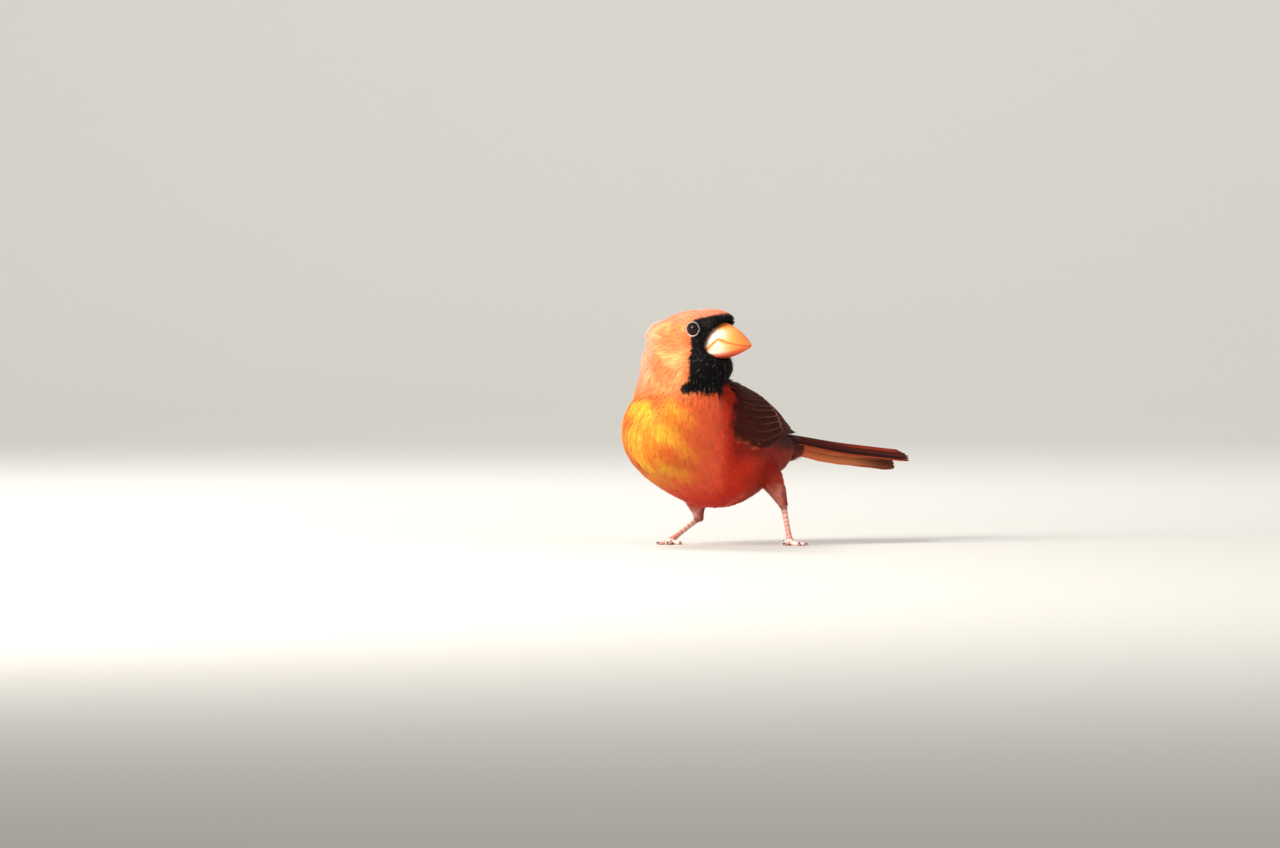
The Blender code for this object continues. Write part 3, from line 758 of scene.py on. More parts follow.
class Surface:
    """The skin as something to find places on."""

    def __init__(self, piece):
        mesh = piece.data
        mesh.calc_loop_triangles()
        self.points = read_points(piece)
        self.normals = read_normals(piece)
        self.corners = read_rows(mesh.loop_triangles, "vertices", 3, np.int32)
        loops = read_rows(mesh.loop_triangles, "loops", 3, np.int32)
        self.uv = read_rows(mesh.uv_layers["OFBake"].data, "uv", 2)[loops]
        self.tree = BVHTree.FromPolygons(self.points.tolist(), self.corners.tolist())
        a, b, c = (self.points[self.corners[:, k]] for k in range(3))
        self.area = np.linalg.norm(np.cross(b - a, c - a), axis=1) / 2
        self.up = unit(self.normals[self.corners].sum(axis=1))

    def scatter(self, count, weight, draw):
        """Random places on the surface: points, normals and their place on the unwrap."""
        share = self.area * weight
        picks = draw.choice(len(share), count, p=share / share.sum())
        r1, r2 = draw.random((2, count))
        root = np.sqrt(r1)
        parts = np.column_stack([1 - root, root * (1 - r2), root * r2])
        corners = self.corners[picks]
        points = np.einsum("nk,nkj->nj", parts, self.points[corners])
        normals = unit(np.einsum("nk,nkj->nj", parts, self.normals[corners]))
        uvs = np.einsum("nk,nkj->nj", parts, self.uv[picks])
        return points, normals, uvs

    def place(self, points):
        """Where on the unwrap the nearest face to each point lies."""
        faces = [self.tree.find_nearest(point)[2] for point in points]
        return self.uv[faces].mean(axis=1)

    def nearest(self, points):
        """The nearest place on the surface to each point, and the normal there."""
        spots = np.empty_like(points)
        ups = np.empty_like(points)
        for index, point in enumerate(points):
            spot, _, face, _ = self.tree.find_nearest(point)
            spots[index] = spot
            ups[index] = self.up[face]
        return spots, ups


# Coat -----------------------------------------------------------------------------------

# Places tried for feathers, before each is given its own room.
ROOT_TRIES = 170000
# How near to bill, shank and ankle a feather may stand.
BILL_GAP = 0.55
SHANK_GAP = 0.4
ANKLE_GAP = 4.5
# Behind this place the wing's own feathers cover the shoulder.
SHOULDER_END = 17.0
# Stretches of a feather's shaft, and points along each of its barbs.
SHAFT_STEPS = 4
BARB_POINTS = 4
BARB_WIDTH = 0.2
# A fan of barbs, as shares of its shaft: where the first barbs leave it and how far on the last
# do, how much sooner than the tip the outer ones end, how ragged the ends are, and the shortest.
FIRST_BARB = 0.12
BARB_SPREAD = 0.5
OUTER_LOSS = 0.32
RAGGED_ENDS = 0.2
SHORTEST_BARB = 0.18
# How far a feather's sides curve down, and the half width at which its barbs are full size.
CAMBER = 0.22
FULL_HALF_WIDTH = 1.9
# How different one barb is from the next in its place, roll, height, tone and facing, and one
# feather from the next in its heading, tone and warmth of colour.
STRAY_PLACE = 0.05
STRAY_ROLL = 0.09
STRAY_HEIGHT = 0.06
STRAY_TONE = 0.06
STRAY_FACING = 0.06
STRAY_HEADING = 0.13
FEATHER_TONE = 0.055
FEATHER_WARMTH = 0.05
# How much higher than the rest the feathers of forehead, throat and shoulder stand.
BROW_LIFT = 0.75
BEARD_LIFT = 1.6
SHOULDER_LIFT = 0.5
# How much darker a barb is at its root than at its tip: painted shade, deepest where the barb lies low
# in the coat.
ROOT_SHADE = 0.88
TIP_SHADE = 1.04
# Half the side of a feather's patch on the bake map.
BAKE_PATCH = 0.0015
# Which way the feathers of the trunk point.
LIE_BREAST = np.array((0.0, 0.45, -1.0))
LIE_FLANK = np.array((0.0, 1.0, -0.5))
LIE_REAR = np.array((0.13, 1.0, -0.1))
LIE_SHOULDER = np.array((0.0, 1.0, -0.3))


def lie_of_coat(points, normals):
    """Which way the feathers point at each place: back from the bill, down the neck and
    breast, and along the body to the tail."""
    forward, right, up = head_axes(points)
    _, y, z = points.T
    radial = unit(HEAD_RIGHT * right[:, None] + UP * (up + 2.0)[:, None])
    head = -HEAD_FORWARD - UP * (0.42 + 0.5 * ease(-up, 2, 12))[:, None]
    head = head + radial * ease(forward, 13, 19)[:, None] * 0.9
    neck = -UP - HEAD_FORWARD * 0.22
    trunk = mix(LIE_BREAST, LIE_FLANK, ease(y, -22, 12))
    trunk = mix(trunk, LIE_REAR, ease(y, 20, 40))
    trunk = mix(trunk, LIE_SHOULDER, wing_share(points)[0])
    trunk_share = np.maximum(fade(z, 58, 76), ease(y, 2, 12) * ease(z, 50, 60))
    field = mix(mix(neck, trunk, trunk_share), head, ease(z, 84, 95))
    for leg in LEGS.values():
        ankle = leg["ankle"]
        near = fade(distance(points, ankle), 8, 17)
        down = unit(ankle - points) * (1.0, 1.0, 1.4)
        field = mix(field, down, near * fade(z, ankle[2] + 10.0, ankle[2] + 18.0))
    return flatten(field, normals)


def feather_size(points):
    """Length, spacing and half width of the feathers at each place."""
    forward, _, up = head_axes(points)
    _, y, z = points.T
    crest = ease(up, 3, 8) * fade(forward, -4, 8) * ease(z, 92, 100)
    eye_gap = np.min([distance(points, eye) for eye in EYES], axis=0)
    foot = fade(z, 15, 25) + ease(y, 24, 29) * fade(z, 22, 36)
    length = np.full(len(points), 9.0)
    for goal, share in (
            (6.0, ease(z, 62, 78) * fade(y, 8, 20)),
            (4.2, ease(z, 84, 96)),
            (9.5, crest),
            (2.2, ease(forward, 7, 15) * ease(up, -15, -9)),
            (1.7, fade(eye_gap, 4.6, 8.0)),
            (4.0, np.clip(foot, 0, 1))):
        length = blend(length, goal, share)
    length = length - 2.0 * ease(y, 46, 58)
    slim = 0.29 - 0.12 * crest
    spacing = 0.86 + 0.1 * (length - 4) * (1 - 0.6 * crest) - 0.2 * ease(4.0 - length, 0, 2.2)
    return length, spacing, length * slim


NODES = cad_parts
WING_TREE = solid_tree(NODES["flight_feathers_left"], NODES["flight_feathers_right"])
TAIL_TREE = solid_tree(NODES["tail"])
SHANK_TREE = solid_tree(NODES["shank_left"], NODES["shank_right"])
EYES = [head_point(EYE_FORWARD, side * EYE_SIDE, EYE_RISE) for side in (1, -1)]


def covered(points, normals, tree, reach):
    """Which places lie under a solid that is met within `reach` of the skin."""
    under = np.zeros(len(points), bool)
    for index, (point, normal) in enumerate(zip(points, normals)):
        under[index] = tree.ray_cast(point - normal * 0.5, normal, reach)[0] is not None
    return under


def choose_roots(surface, draw):
    """Evenly spread roots, closer where the feathers are smaller, clear of bill, eyes and wings."""
    middles = surface.points[surface.corners].mean(axis=1)
    _, spacing, _ = feather_size(middles)
    points, normals, uvs = surface.scatter(ROOT_TRIES, spacing ** -2.0, draw)
    clear = np.ones(len(points), bool)
    for eye in EYES:
        clear &= distance(points, eye) > EYE_RADIUS + 0.1
    for leg in LEGS.values():
        clear &= distance(points, leg["ankle"]) > ANKLE_GAP
    points, normals, uvs = (rows[clear] for rows in (points, normals, uvs))
    clear = nearest_gap(points, BILL_TREE) > BILL_GAP
    clear &= nearest_gap(points, SHANK_TREE) > SHANK_GAP
    clear &= ~((wing_share(points)[0] > 0.5) & (points[:, 1] > SHOULDER_END))
    for tree, reach in ((WING_TREE, 4.2), (TAIL_TREE, 2.5), (BILL_TREE, 3.0)):
        clear &= ~covered(points, normals, tree, reach)
    points, normals, uvs = (rows[clear] for rows in (points, normals, uvs))
    _, spacing, _ = feather_size(points)
    tree = KDTree(len(points))
    for index, point in enumerate(points):
        tree.insert(point, index)
    tree.balance()
    open_spot = np.ones(len(points), bool)
    kept = []
    for index in range(len(points)):
        if not open_spot[index]:
            continue
        kept.append(index)
        for _, other, _ in tree.find_range(points[index], spacing[index]):
            open_spot[other] = False
    return points[kept], normals[kept], uvs[kept]


def near_tail(points):
    """How far each place belongs to the root of the tail."""
    return ease(points[:, 1], 46, 57)


def lay_shafts(surface, roots, normals, lengths, draw):
    """Walk each feather's shaft over the skin along the lie of the coat."""
    count = len(roots)
    shafts = np.empty((count, SHAFT_STEPS + 1, 3))
    ups = np.empty((count, SHAFT_STEPS + 1, 3))
    here = roots.copy()
    up = normals.copy()
    heading = lie_of_coat(here, up)
    stray = draw.normal(0, STRAY_HEADING, count)[:, None]
    heading = flatten(heading + np.cross(up, heading) * stray, up)
    # Round the root of the tail they leave the skin and run on along the tail.
    loose = near_tail(roots)
    round_tail = flatten(roots - TAIL_ROOT, np.broadcast_to(TAIL_ALONG, roots.shape))
    up = unit(mix(up, round_tail, loose))
    heading = unit(mix(heading, TAIL_ALONG - 0.22 * round_tail, loose))
    heading = flatten(heading, up)
    for step in range(SHAFT_STEPS + 1):
        shafts[:, step] = here
        ups[:, step] = up
        if step == SHAFT_STEPS:
            break
        ahead = here + heading * (lengths / SHAFT_STEPS)[:, None]
        here, up_next = surface.nearest(ahead)
        here = mix(here, ahead, loose)
        up = unit(mix(up_next, up, loose))
        bent = flatten(heading * 0.7 + lie_of_coat(here, up) * 0.3, up)
        heading = unit(mix(bent, heading, loose))
    return shafts, ups


def barb_corners(left, right, tip):
    """The rows of each barb's points: a pair at each station but the last, which is its tip."""
    pairs = np.stack([left[..., :-1, :], right[..., :-1, :]], axis=3)
    total, width = left.shape[0] * left.shape[1], left.shape[-1]
    rows = [pairs.reshape(total, -1, width), tip[..., -1, :].reshape(total, 1, width)]
    return np.concatenate(rows, axis=1).reshape(-1, width)


def grow_barbs(name, shafts, ups, half_widths, lifts, barbs, colours, uvs, draw, sink=0.3):
    """Turn shafts into fans of fine tapered barbs, as one mesh piece of the coat."""
    count = len(shafts)
    half = np.broadcast_to(half_widths, count)[:, None, None]
    lift = np.broadcast_to(lifts, count)[:, None, None]
    rank = (np.arange(barbs) + 0.5) / barbs
    lean = np.abs(rank * 2 - 1)[None, :] + draw.normal(0, STRAY_PLACE, (count, barbs))
    lean = np.clip(lean, 0.02, 1.15)
    side = np.where(rank < 0.5, -1.0, 1.0)[None, :]
    reach = side * half[..., 0] * lean
    # Where along the shaft each barb leaves it, and where it ends: the outer ones end sooner.
    start = FIRST_BARB + BARB_SPREAD * draw.random((count, barbs)) * (0.4 + 0.6 * lean)
    start = np.clip(start, 0, 0.75)
    end = 1.0 - OUTER_LOSS * lean ** 1.7 - RAGGED_ENDS * draw.random((count, barbs))
    end = np.maximum(end, start + SHORTEST_BARB)

    # The middle line of each barb, which rises from the skin and curves down at the sides.
    t = np.linspace(0, 1, BARB_POINTS)[None, None, :]
    along = start[..., None] + (end - start)[..., None] * t
    across = reach[..., None] * t ** 0.75
    slot = np.clip(along * SHAFT_STEPS, 0, SHAFT_STEPS - 1e-6)
    low = slot.astype(int)
    part = (slot - low)[..., None]
    which = np.arange(count)[:, None, None]
    spine = shafts[which, low] * (1 - part) + shafts[which, low + 1] * part
    up = unit(ups[which, low] * (1 - part) + ups[which, low + 1] * part)
    heading = unit(shafts[which, low + 1] - shafts[which, low])
    sideways = unit(np.cross(heading, up))
    roll = draw.normal(0, STRAY_ROLL, (count, 1, 1))
    camber = CAMBER * (across / half) ** 2 * half
    rise = -sink + (lift + sink) * along ** 0.85 - camber + roll * across
    rise = rise + draw.normal(0, STRAY_HEIGHT, (count, barbs, 1)) * lift
    centre = spine + sideways * across[..., None] + up * rise[..., None]

    # Its two edges, which draw together at the tip.
    run = np.gradient(centre, axis=2)
    width_way = flatten(np.cross(run, up), unit(run))
    taper = BARB_WIDTH * (1 - 0.72 * t ** 1.6) * draw.uniform(0.75, 1.2, (count, barbs, 1))
    taper = taper * np.clip(half / FULL_HALF_WIDTH, 0.35, 1.2) ** 0.6
    left = centre - width_way * (taper / 2)[..., None]
    right = centre + width_way * (taper / 2)[..., None]

    faces = []
    for pair in range(0, 2 * (BARB_POINTS - 2), 2):
        faces += [pair, pair + 1, pair + 3, pair + 2]
    tip = 2 * (BARB_POINTS - 1)
    faces += [tip - 2, tip - 1, tip]
    first = np.arange(count * barbs)[:, None] * (tip + 1)
    loops = (np.array(faces) + first).ravel()
    totals = np.tile([4] * (BARB_POINTS - 2) + [3], count * barbs)

    tone = draw.normal(1.0, STRAY_TONE, (count, barbs, 1, 1))
    # Painted shade: each barb darkens towards its root, deep in the coat.
    depth = blend(ROOT_SHADE, TIP_SHADE, along ** 0.8)[..., None]
    shade = colours[:, None, None, :] * tone * depth
    # A few stray pale barbs fleck the black bib.
    dark = (colours.sum(axis=1) < 0.04)[:, None, None, None]
    shade = np.where(dark & (draw.random((count, barbs, 1, 1)) < FLECK_SHARE), FLECK, shade)

    # Each feather lies flat on its own patch of the bake map, at its root's place.
    flat_across = across / half
    spread = [np.stack([flat_across + move, along * 2 - 1], axis=-1) for move in (-0.06, 0.06, 0)]
    home = np.repeat(uvs, barbs * (tip + 1), axis=0)
    corner_uvs = (home + barb_corners(*spread) * BAKE_PATCH)[loops]

    # Barbs catch the light mostly as the body under them does, so each takes its normal.
    facing = unit(up + sideways * (0.35 * flat_across)[..., None] + 0.12 * heading
                  + draw.normal(0, STRAY_FACING, (count, barbs, 1, 3)))
    mesh = make_mesh(name, barb_corners(left, right, centre), loops, totals,
                     barb_corners(shade, shade, shade), corner_uvs,
                     barb_corners(facing, facing, facing))
    dress(add_object(name, mesh), DOWN)


def feather_colours(tips, draw):
    """Each feather takes the colour of the place where its tip shows, a little varied."""
    colours = plumage(tips)
    tone = draw.normal(1.0, FEATHER_TONE, (len(tips), 1))
    warm = draw.normal(0.0, FEATHER_WARMTH, (len(tips), 1))
    return np.clip(colours * tone * (1 + warm * (0.0, 1.6, 0.6)), 0, 1)


# The coat's pieces, with the number of barbs in each of their feathers.
BARBS = {"face": 12, "crown": 20, "cheeks": 20, "neck": 24, "upper_breast": 32,
         "lower_breast": 32, "belly": 28, "flanks": 30, "back": 28, "shoulders": 30,
         "thighs": 18}


def region_of(points):
    """Which part of the coat each feather belongs to."""
    forward, _, up = head_axes(points)
    x, y, z = points.T
    names = np.full(len(points), "lower_breast", dtype=object)
    for name, inside in (
            ("upper_breast", z > 52),
            ("belly", (y > -4) & (z < 40)),
            ("flanks", (y > -4) & (z >= 40)),
            ("back", (y > 6) & (z > 60) | (y > 40) & (z > 48)),
            ("thighs", (y > 24) & (z < 34) & (x > 12) | (z < 20) & (x < -5)),
            ("shoulders", wing_share(points)[0] > 0.5),
            ("neck", (z > 70) & (y < 14)),
            ("cheeks", z > 90),
            ("crown", (z > 90) & (up > 5)),
            ("face", (forward > 9) & (up > -13))):
        names[inside] = name
    return names


def make_coat(surface):
    draw = np.random.default_rng(SEED)
    roots, normals, uvs = choose_roots(surface, draw)
    lengths, _, half_widths = feather_size(roots)
    lengths = lengths * draw.uniform(0.85, 1.15, len(roots))
    shafts, ups = lay_shafts(surface, roots, normals, lengths, draw)
    lifts = coat_depth(roots) * draw.uniform(0.85, 1.1, len(roots))
    forward, _, up = head_axes(roots)
    # The black feathers of the forehead stand up in a low brush over the bill.
    lifts = lifts + BROW_LIFT * ease(forward, 9, 14) * ease(up, 4.0, 7.5)
    # Those of the throat hang in a loose beard that fills the hollow over the breast.
    throat = ease(up, -28, -22) * fade(up, -17, -11)
    lifts = lifts + BEARD_LIFT * throat * ease(forward, 8, 14)
    # Those of the shoulder lie over the roots of the wing's coverts.
    lifts = lifts + SHOULDER_LIFT * wing_share(roots)[0]
    lifts = lifts * (1 - 0.6 * near_tail(roots))
    colours = feather_colours(shafts[:, 3], draw)
    regions = region_of(roots)
    for region, barbs in BARBS.items():
        pick = regions == region
        grow_barbs("coat_" + region, shafts[pick], ups[pick], half_widths[pick], lifts[pick],
                   barbs, colours[pick], uvs[pick], draw)
    return roots, normals, uvs


# How many loose feathers there are at each cuff, in the crest's tip, round each eye, at the gape
# and along the bib.
CUFF_FEATHERS = 420
CREST_FEATHERS = 120
EYELID_FEATHERS = 420
GAPE_BRISTLES = 70
BIB_BRISTLES = 190


def straight_shafts(roots, headings, ups, lengths, sag=0.0):
    """Shafts that stand free of the skin, sagging a little towards their tips."""
    part = np.linspace(0, 1, SHAFT_STEPS + 1)[None, :, None]
    reach = lengths[:, None, None]
    shafts = roots[:, None] + headings[:, None] * reach * part - UP * sag * reach * part ** 2
    return shafts, np.repeat(ups[:, None], SHAFT_STEPS + 1, axis=1)


def make_cuffs(surface, draw):
    """Short feathers that run down the end of each thigh on to the shank."""
    for suffix, leg in LEGS.items():
        knee, ankle = leg["knee"], leg["ankle"]
        axis = unit(ankle - knee)
        across = unit(np.cross(axis, UP))
        count = CUFF_FEATHERS
        turn = draw.uniform(0, 2 * pi, count)[:, None]
        out = across * np.cos(turn) + np.cross(axis, across) * np.sin(turn)
        part = draw.uniform(-0.25, 0.9, count)[:, None]
        radius = blend(leg["calf"], 2.0, np.clip(part, 0, 1))
        roots = blend(knee, ankle, part) + out * (radius - 0.2)
        ends = ankle + axis * draw.uniform(-0.5, 2.4, count)[:, None] + out * 1.8
        lengths = np.clip(distance(ends, roots), 2.5, 5.2)
        headings = unit(ends - roots)
        shafts, ups = straight_shafts(roots, headings, flatten(out, headings), lengths)
        colours = feather_colours(shafts[:, 3], draw)
        grow_barbs("coat_cuff_" + suffix, shafts, ups, 0.8, 0.25, 10, colours,
                   surface.place(roots), draw, sink=0.1)


def make_crest_tuft(surface, draw):
    """The narrow tip of the lowered crest, standing clear of the nape."""
    count = CREST_FEATHERS
    back = draw.uniform(13.0, 19.5, count)
    right = draw.normal(0, 1.5, count)
    roots = np.array([head_point(-b, r, 8.6 - 0.32 * (b - 13) + 0.4 * draw.normal())
                      for b, r in zip(back, right)])
    ends = np.array([head_point(-24.4 - draw.uniform(0, 1.5), r * 0.2, -1.3 + draw.normal(0, 0.3))
                     for r in right])
    lengths = distance(ends, roots)
    headings = unit(ends - roots)
    over = flatten(HEAD_RIGHT * np.sign(right)[:, None] + UP * 0.6, headings)
    shafts, ups = straight_shafts(roots, headings, over, lengths)
    colours = mix(feather_colours(shafts[:, 3], draw), NAPE, 0.6)
    grow_barbs("coat_crest_tip", shafts, ups, 0.6, 0.25, 16, colours, surface.place(roots), draw)


def make_tail_coverts(surface, draw):
    """Long loose feathers that run from the rump and the vent over the root of the tail."""
    for suffix, count, low, high, rise in (("upper", 190, 0.2, 1.2, 1), ("under", 170, -5, -1, -1)):
        t = draw.uniform(0.06, 0.94, count)
        s = draw.uniform(-0.02, 0.11, count)
        roots = tail_face(s, t) + TAIL_RISE * draw.uniform(low, high, count)[:, None]
        lean = (t - 0.5)[:, None] * TAIL_ACROSS * 0.1
        headings = unit(TAIL_ALONG + lean - TAIL_RISE * 0.02 * rise + TAIL_RISE * (rise < 0) * 0.16)
        over = flatten(TAIL_RISE * rise + TAIL_ACROSS * ((t - 0.5) * 1.2)[:, None], headings)
        lengths = draw.uniform(6.5, 11.0, count)
        shafts, ups = straight_shafts(roots, headings, over, lengths)
        colours = feather_colours(shafts[:, 2], draw)
        grow_barbs("coat_tail_" + suffix, shafts, ups, lengths * 0.14, 0.3, 22, colours,
                   surface.place(roots), draw)


def make_eye_fringe(surface, draw):
    """Tiny feathers that spread from the rim of the eyelids on to the face."""
    for eye, side in zip(EYES, (1, -1)):
        count = EYELID_FEATHERS
        outward = HEAD_RIGHT * side
        angle = draw.uniform(0, 2 * pi, count)[:, None]
        slope = radians(1) * draw.uniform(-25, 84, count)[:, None]
        radial = HEAD_FORWARD * np.cos(angle) + UP * np.sin(angle)
        over = radial * np.cos(slope) + outward * np.sin(slope)
        roots = eye + radial * LID_RING + outward * LID_OUT + over * LID_THICK
        away = radial * np.sin(slope) - outward * np.cos(slope)
        headings = flatten(away - HEAD_FORWARD * 0.5, over)
        shafts, ups = straight_shafts(roots, headings, over, draw.uniform(0.8, 1.4, count))
        colours = feather_colours(roots + radial * 0.8, draw)
        name = "coat_eyelid_" + ("right" if side > 0 else "left")
        grow_barbs(name, shafts, ups, 0.36, 0.08, 8, colours, surface.place(roots), draw, sink=0.05)


def make_bristles(roots, normals, uvs, draw):
    """Stiff black hair-like feathers round the gape and along the edge of the bib."""
    _, right, up = head_axes(roots)
    mask = mask_depth(roots) > 0.4
    gape = np.flatnonzero(mask & (nearest_gap(roots, BILL_TREE) < 2.6) & (up > -9))
    bib = np.flatnonzero(mask & (up < -9) & (up > -27) & (right < 6))
    picks = np.concatenate([draw.choice(gape, GAPE_BRISTLES, replace=False),
                            draw.choice(bib, BIB_BRISTLES, replace=False)])
    facing = normals[picks]
    count = GAPE_BRISTLES + BIB_BRISTLES
    hangs = np.arange(count) >= GAPE_BRISTLES
    ahead = np.where(hangs[:, None], -UP * 0.8 + HEAD_FORWARD * 0.3, HEAD_FORWARD * 0.9 - UP * 0.25)
    ahead = ahead + draw.normal(0, 0.25, (count, 3))
    headings = unit(flatten(ahead, facing) + facing * draw.uniform(0.2, 0.9, count)[:, None])
    lengths = np.where(hangs, draw.uniform(2.4, 5.2, count), draw.uniform(1.4, 2.8, count))
    shafts, ups = straight_shafts(roots[picks], headings, flatten(facing, headings), lengths, 0.15)
    grow_barbs("coat_bristles", shafts, ups, 0.3, 0.1, 2, np.broadcast_to(MASK, (count, 3)),
               uvs[picks], draw, sink=0.05)


def make_bill_collar(roots, uvs, draw):
    """Short feathers that lie forward round the root of the bill and close the gap there."""
    away = roots - np.array([BILL_TREE.find_nearest(Vector(root))[0] for root in roots])
    picks = np.flatnonzero((distance(away, 0) < 2.3) & (mask_depth(roots) > 0.2))
    off = unit(away[picks])
    headings = unit(HEAD_FORWARD - off * 0.24 + draw.normal(0, 0.1, off.shape))
    lengths = draw.uniform(1.0, 1.7, len(picks))
    shafts, ups = straight_shafts(roots[picks], headings, flatten(off, headings), lengths)
    colours = feather_colours(roots[picks], draw)
    grow_barbs("coat_bill_collar", shafts, ups, 0.42, 0.06, 9, colours, uvs[picks], draw, sink=0.05)


skin = make_skin()
surface = Surface(skin)
dress(skin, SKIN, FLESH)
coat_roots = make_coat(surface)


# Wing and tail feathers -----------------------------------------------------------------


def palette(base=(), **dyes):
    """The dyes of one kind of feather: the middle, webs, tip and underside of its vane."""
    return {**dict(base), **{name: linear(code) for name, code in dyes.items()}}


COVERT = palette(middle="#3a1109", outer="#541a0d", inner="#35100a", tip="#5f2a1a", under="#6a3a2c")
REMEX = palette(middle="#2c110b", outer="#822a17", inner="#2d130d", tip="#45241e", under="#7c5142")
TERTIAL = palette(middle="#3a160b", outer="#74361e", inner="#36140b", tip="#c08a62", under="#6a3a2c")
MANTLE = palette(middle="#3c150d", outer="#471a10", inner="#3c150d", tip="#54241a", under="#4a241a")
# Painted light: the bright orange underside of the tail feathers stands for sun glowing through the
# vanes.
RECTRIX = palette(middle="#40150e", outer="#5f2014", inner="#36130d", tip="#5c2216", under="#ee8c58",
                  edge="#e2583a")
BLUSHED = palette(RECTRIX, far="#a2321b")
# Painted shadow: a near-black feather stands for the line of shadow between the tail's two halves.
SHADOWED_RECTRIX = palette(RECTRIX, middle="#2a100c", outer="#1d0c0a")
OUTER_RECTRIX = palette(RECTRIX, outer="#b5422a", tip="#8c3a22")
COVERT_TIP = linear("#c9876c")
QUILL = linear("#d9a983")


# How far the tips of the folded wings draw in over the back.
TIP_IN_LEFT = 1.2
TIP_IN_RIGHT = 3.5
# Where the back's own feathers meet the wings, how high they lie over them there, how much
# higher between the wings, and how far they sink towards the rump.
BACK_EDGE = 0.985
BACK_CLEAR = 0.3
BACK_ARCH = 6.0
BACK_SINK = 2.2


def wing_face(s, t, side):
    """A place on the outer face of a folded wing, for arrays of fractions s and t."""
    place = np.clip(s, -0.05, 1.05) * (len(WING_TABLE) - 1)
    low_row = np.clip(place.astype(int), 0, len(WING_TABLE) - 2)
    part = (place - low_row)[..., None]
    row = WING_TABLE[low_row] * (1 - part) + WING_TABLE[low_row + 1] * part
    yb, xb, zb, yt, xt, zt, bulge = np.moveaxis(row, -1, 0)
    low = np.stack([xb, yb, zb], axis=-1)
    chord = np.stack([xt, yt, zt], axis=-1) - low
    outward = unit(np.stack([chord[..., 2], np.zeros_like(xb), -chord[..., 0]], axis=-1))
    arch = (bulge * 4 * t * (1 - t))[..., None]
    point = low + chord * t[..., None] + outward * arch
    closed = (TIP_IN_LEFT if side > 0 else TIP_IN_RIGHT) * ease(s, 0.55, 1.0)
    return (point - closed[..., None] * np.array((1.0, 0.0, 0.0))) * np.array((side, 1.0, 1.0))


def back_face(s, t):
    """A place on the back between the folded wings; t runs from the left wing to the right."""
    edge = np.full_like(s, BACK_EDGE)
    t = t[..., None]
    rise = BACK_CLEAR + BACK_ARCH * t * (1 - t) - BACK_SINK * ease(s, 0.6, 0.9)[..., None]
    return wing_face(s, edge, 1) * (1 - t) + wing_face(s, edge, -1) * t + UP * rise


def tail_face(s, t):
    """A place on the tail's upper face; t runs from its right edge, 0, to its left edge, 1."""
    lean = 2 * t - 1
    left = (lean > 0)[..., None]
    root_half, tip_half, root_drop, tip_drop, _ = np.moveaxis(
        np.where(left, np.array(TAIL_LEFT), np.array(TAIL_RIGHT)), -1, 0)
    half = blend(root_half, tip_half, s)
    drop = blend(root_drop, tip_drop, np.clip(2 * s, 0, 1))
    drop = drop * np.abs(lean) ** 1.2 + 1.3 * ease(s, 0.1, 0.6)
    return (TAIL_ROOT + TAIL_ALONG * (s * TAIL_LENGTH)[..., None]
            + TAIL_ACROSS * (lean * half)[..., None] + TAIL_RISE * (TAIL_RIDGE - drop)[..., None])


# A vane's grid of points, from root to tip and from outer to inner edge, with the shaft raised
# along the middle column.
VANE_ROWS = 16
VANE_COLUMNS = np.array((-1.0, -0.72, -0.4, -0.13, 0.0, 0.13, 0.4, 0.72, 1.0))
VANE_POINTS = VANE_ROWS * len(VANE_COLUMNS)
SHAFT_COLUMN = 4
SHAFT_RIDGE = 0.16
VANE_THICKNESS = 0.14
# A vane's width at its root as a share of its full width, how far its edges are frayed, how much
# its end bows, how much darker its shaft is, and how much one feather differs in tone.
VANE_ROOT = 0.45
VANE_FRAY = 0.07
VANE_BOW = 0.03
SHAFT_SHADE = 0.62
VANE_TONE = 0.07


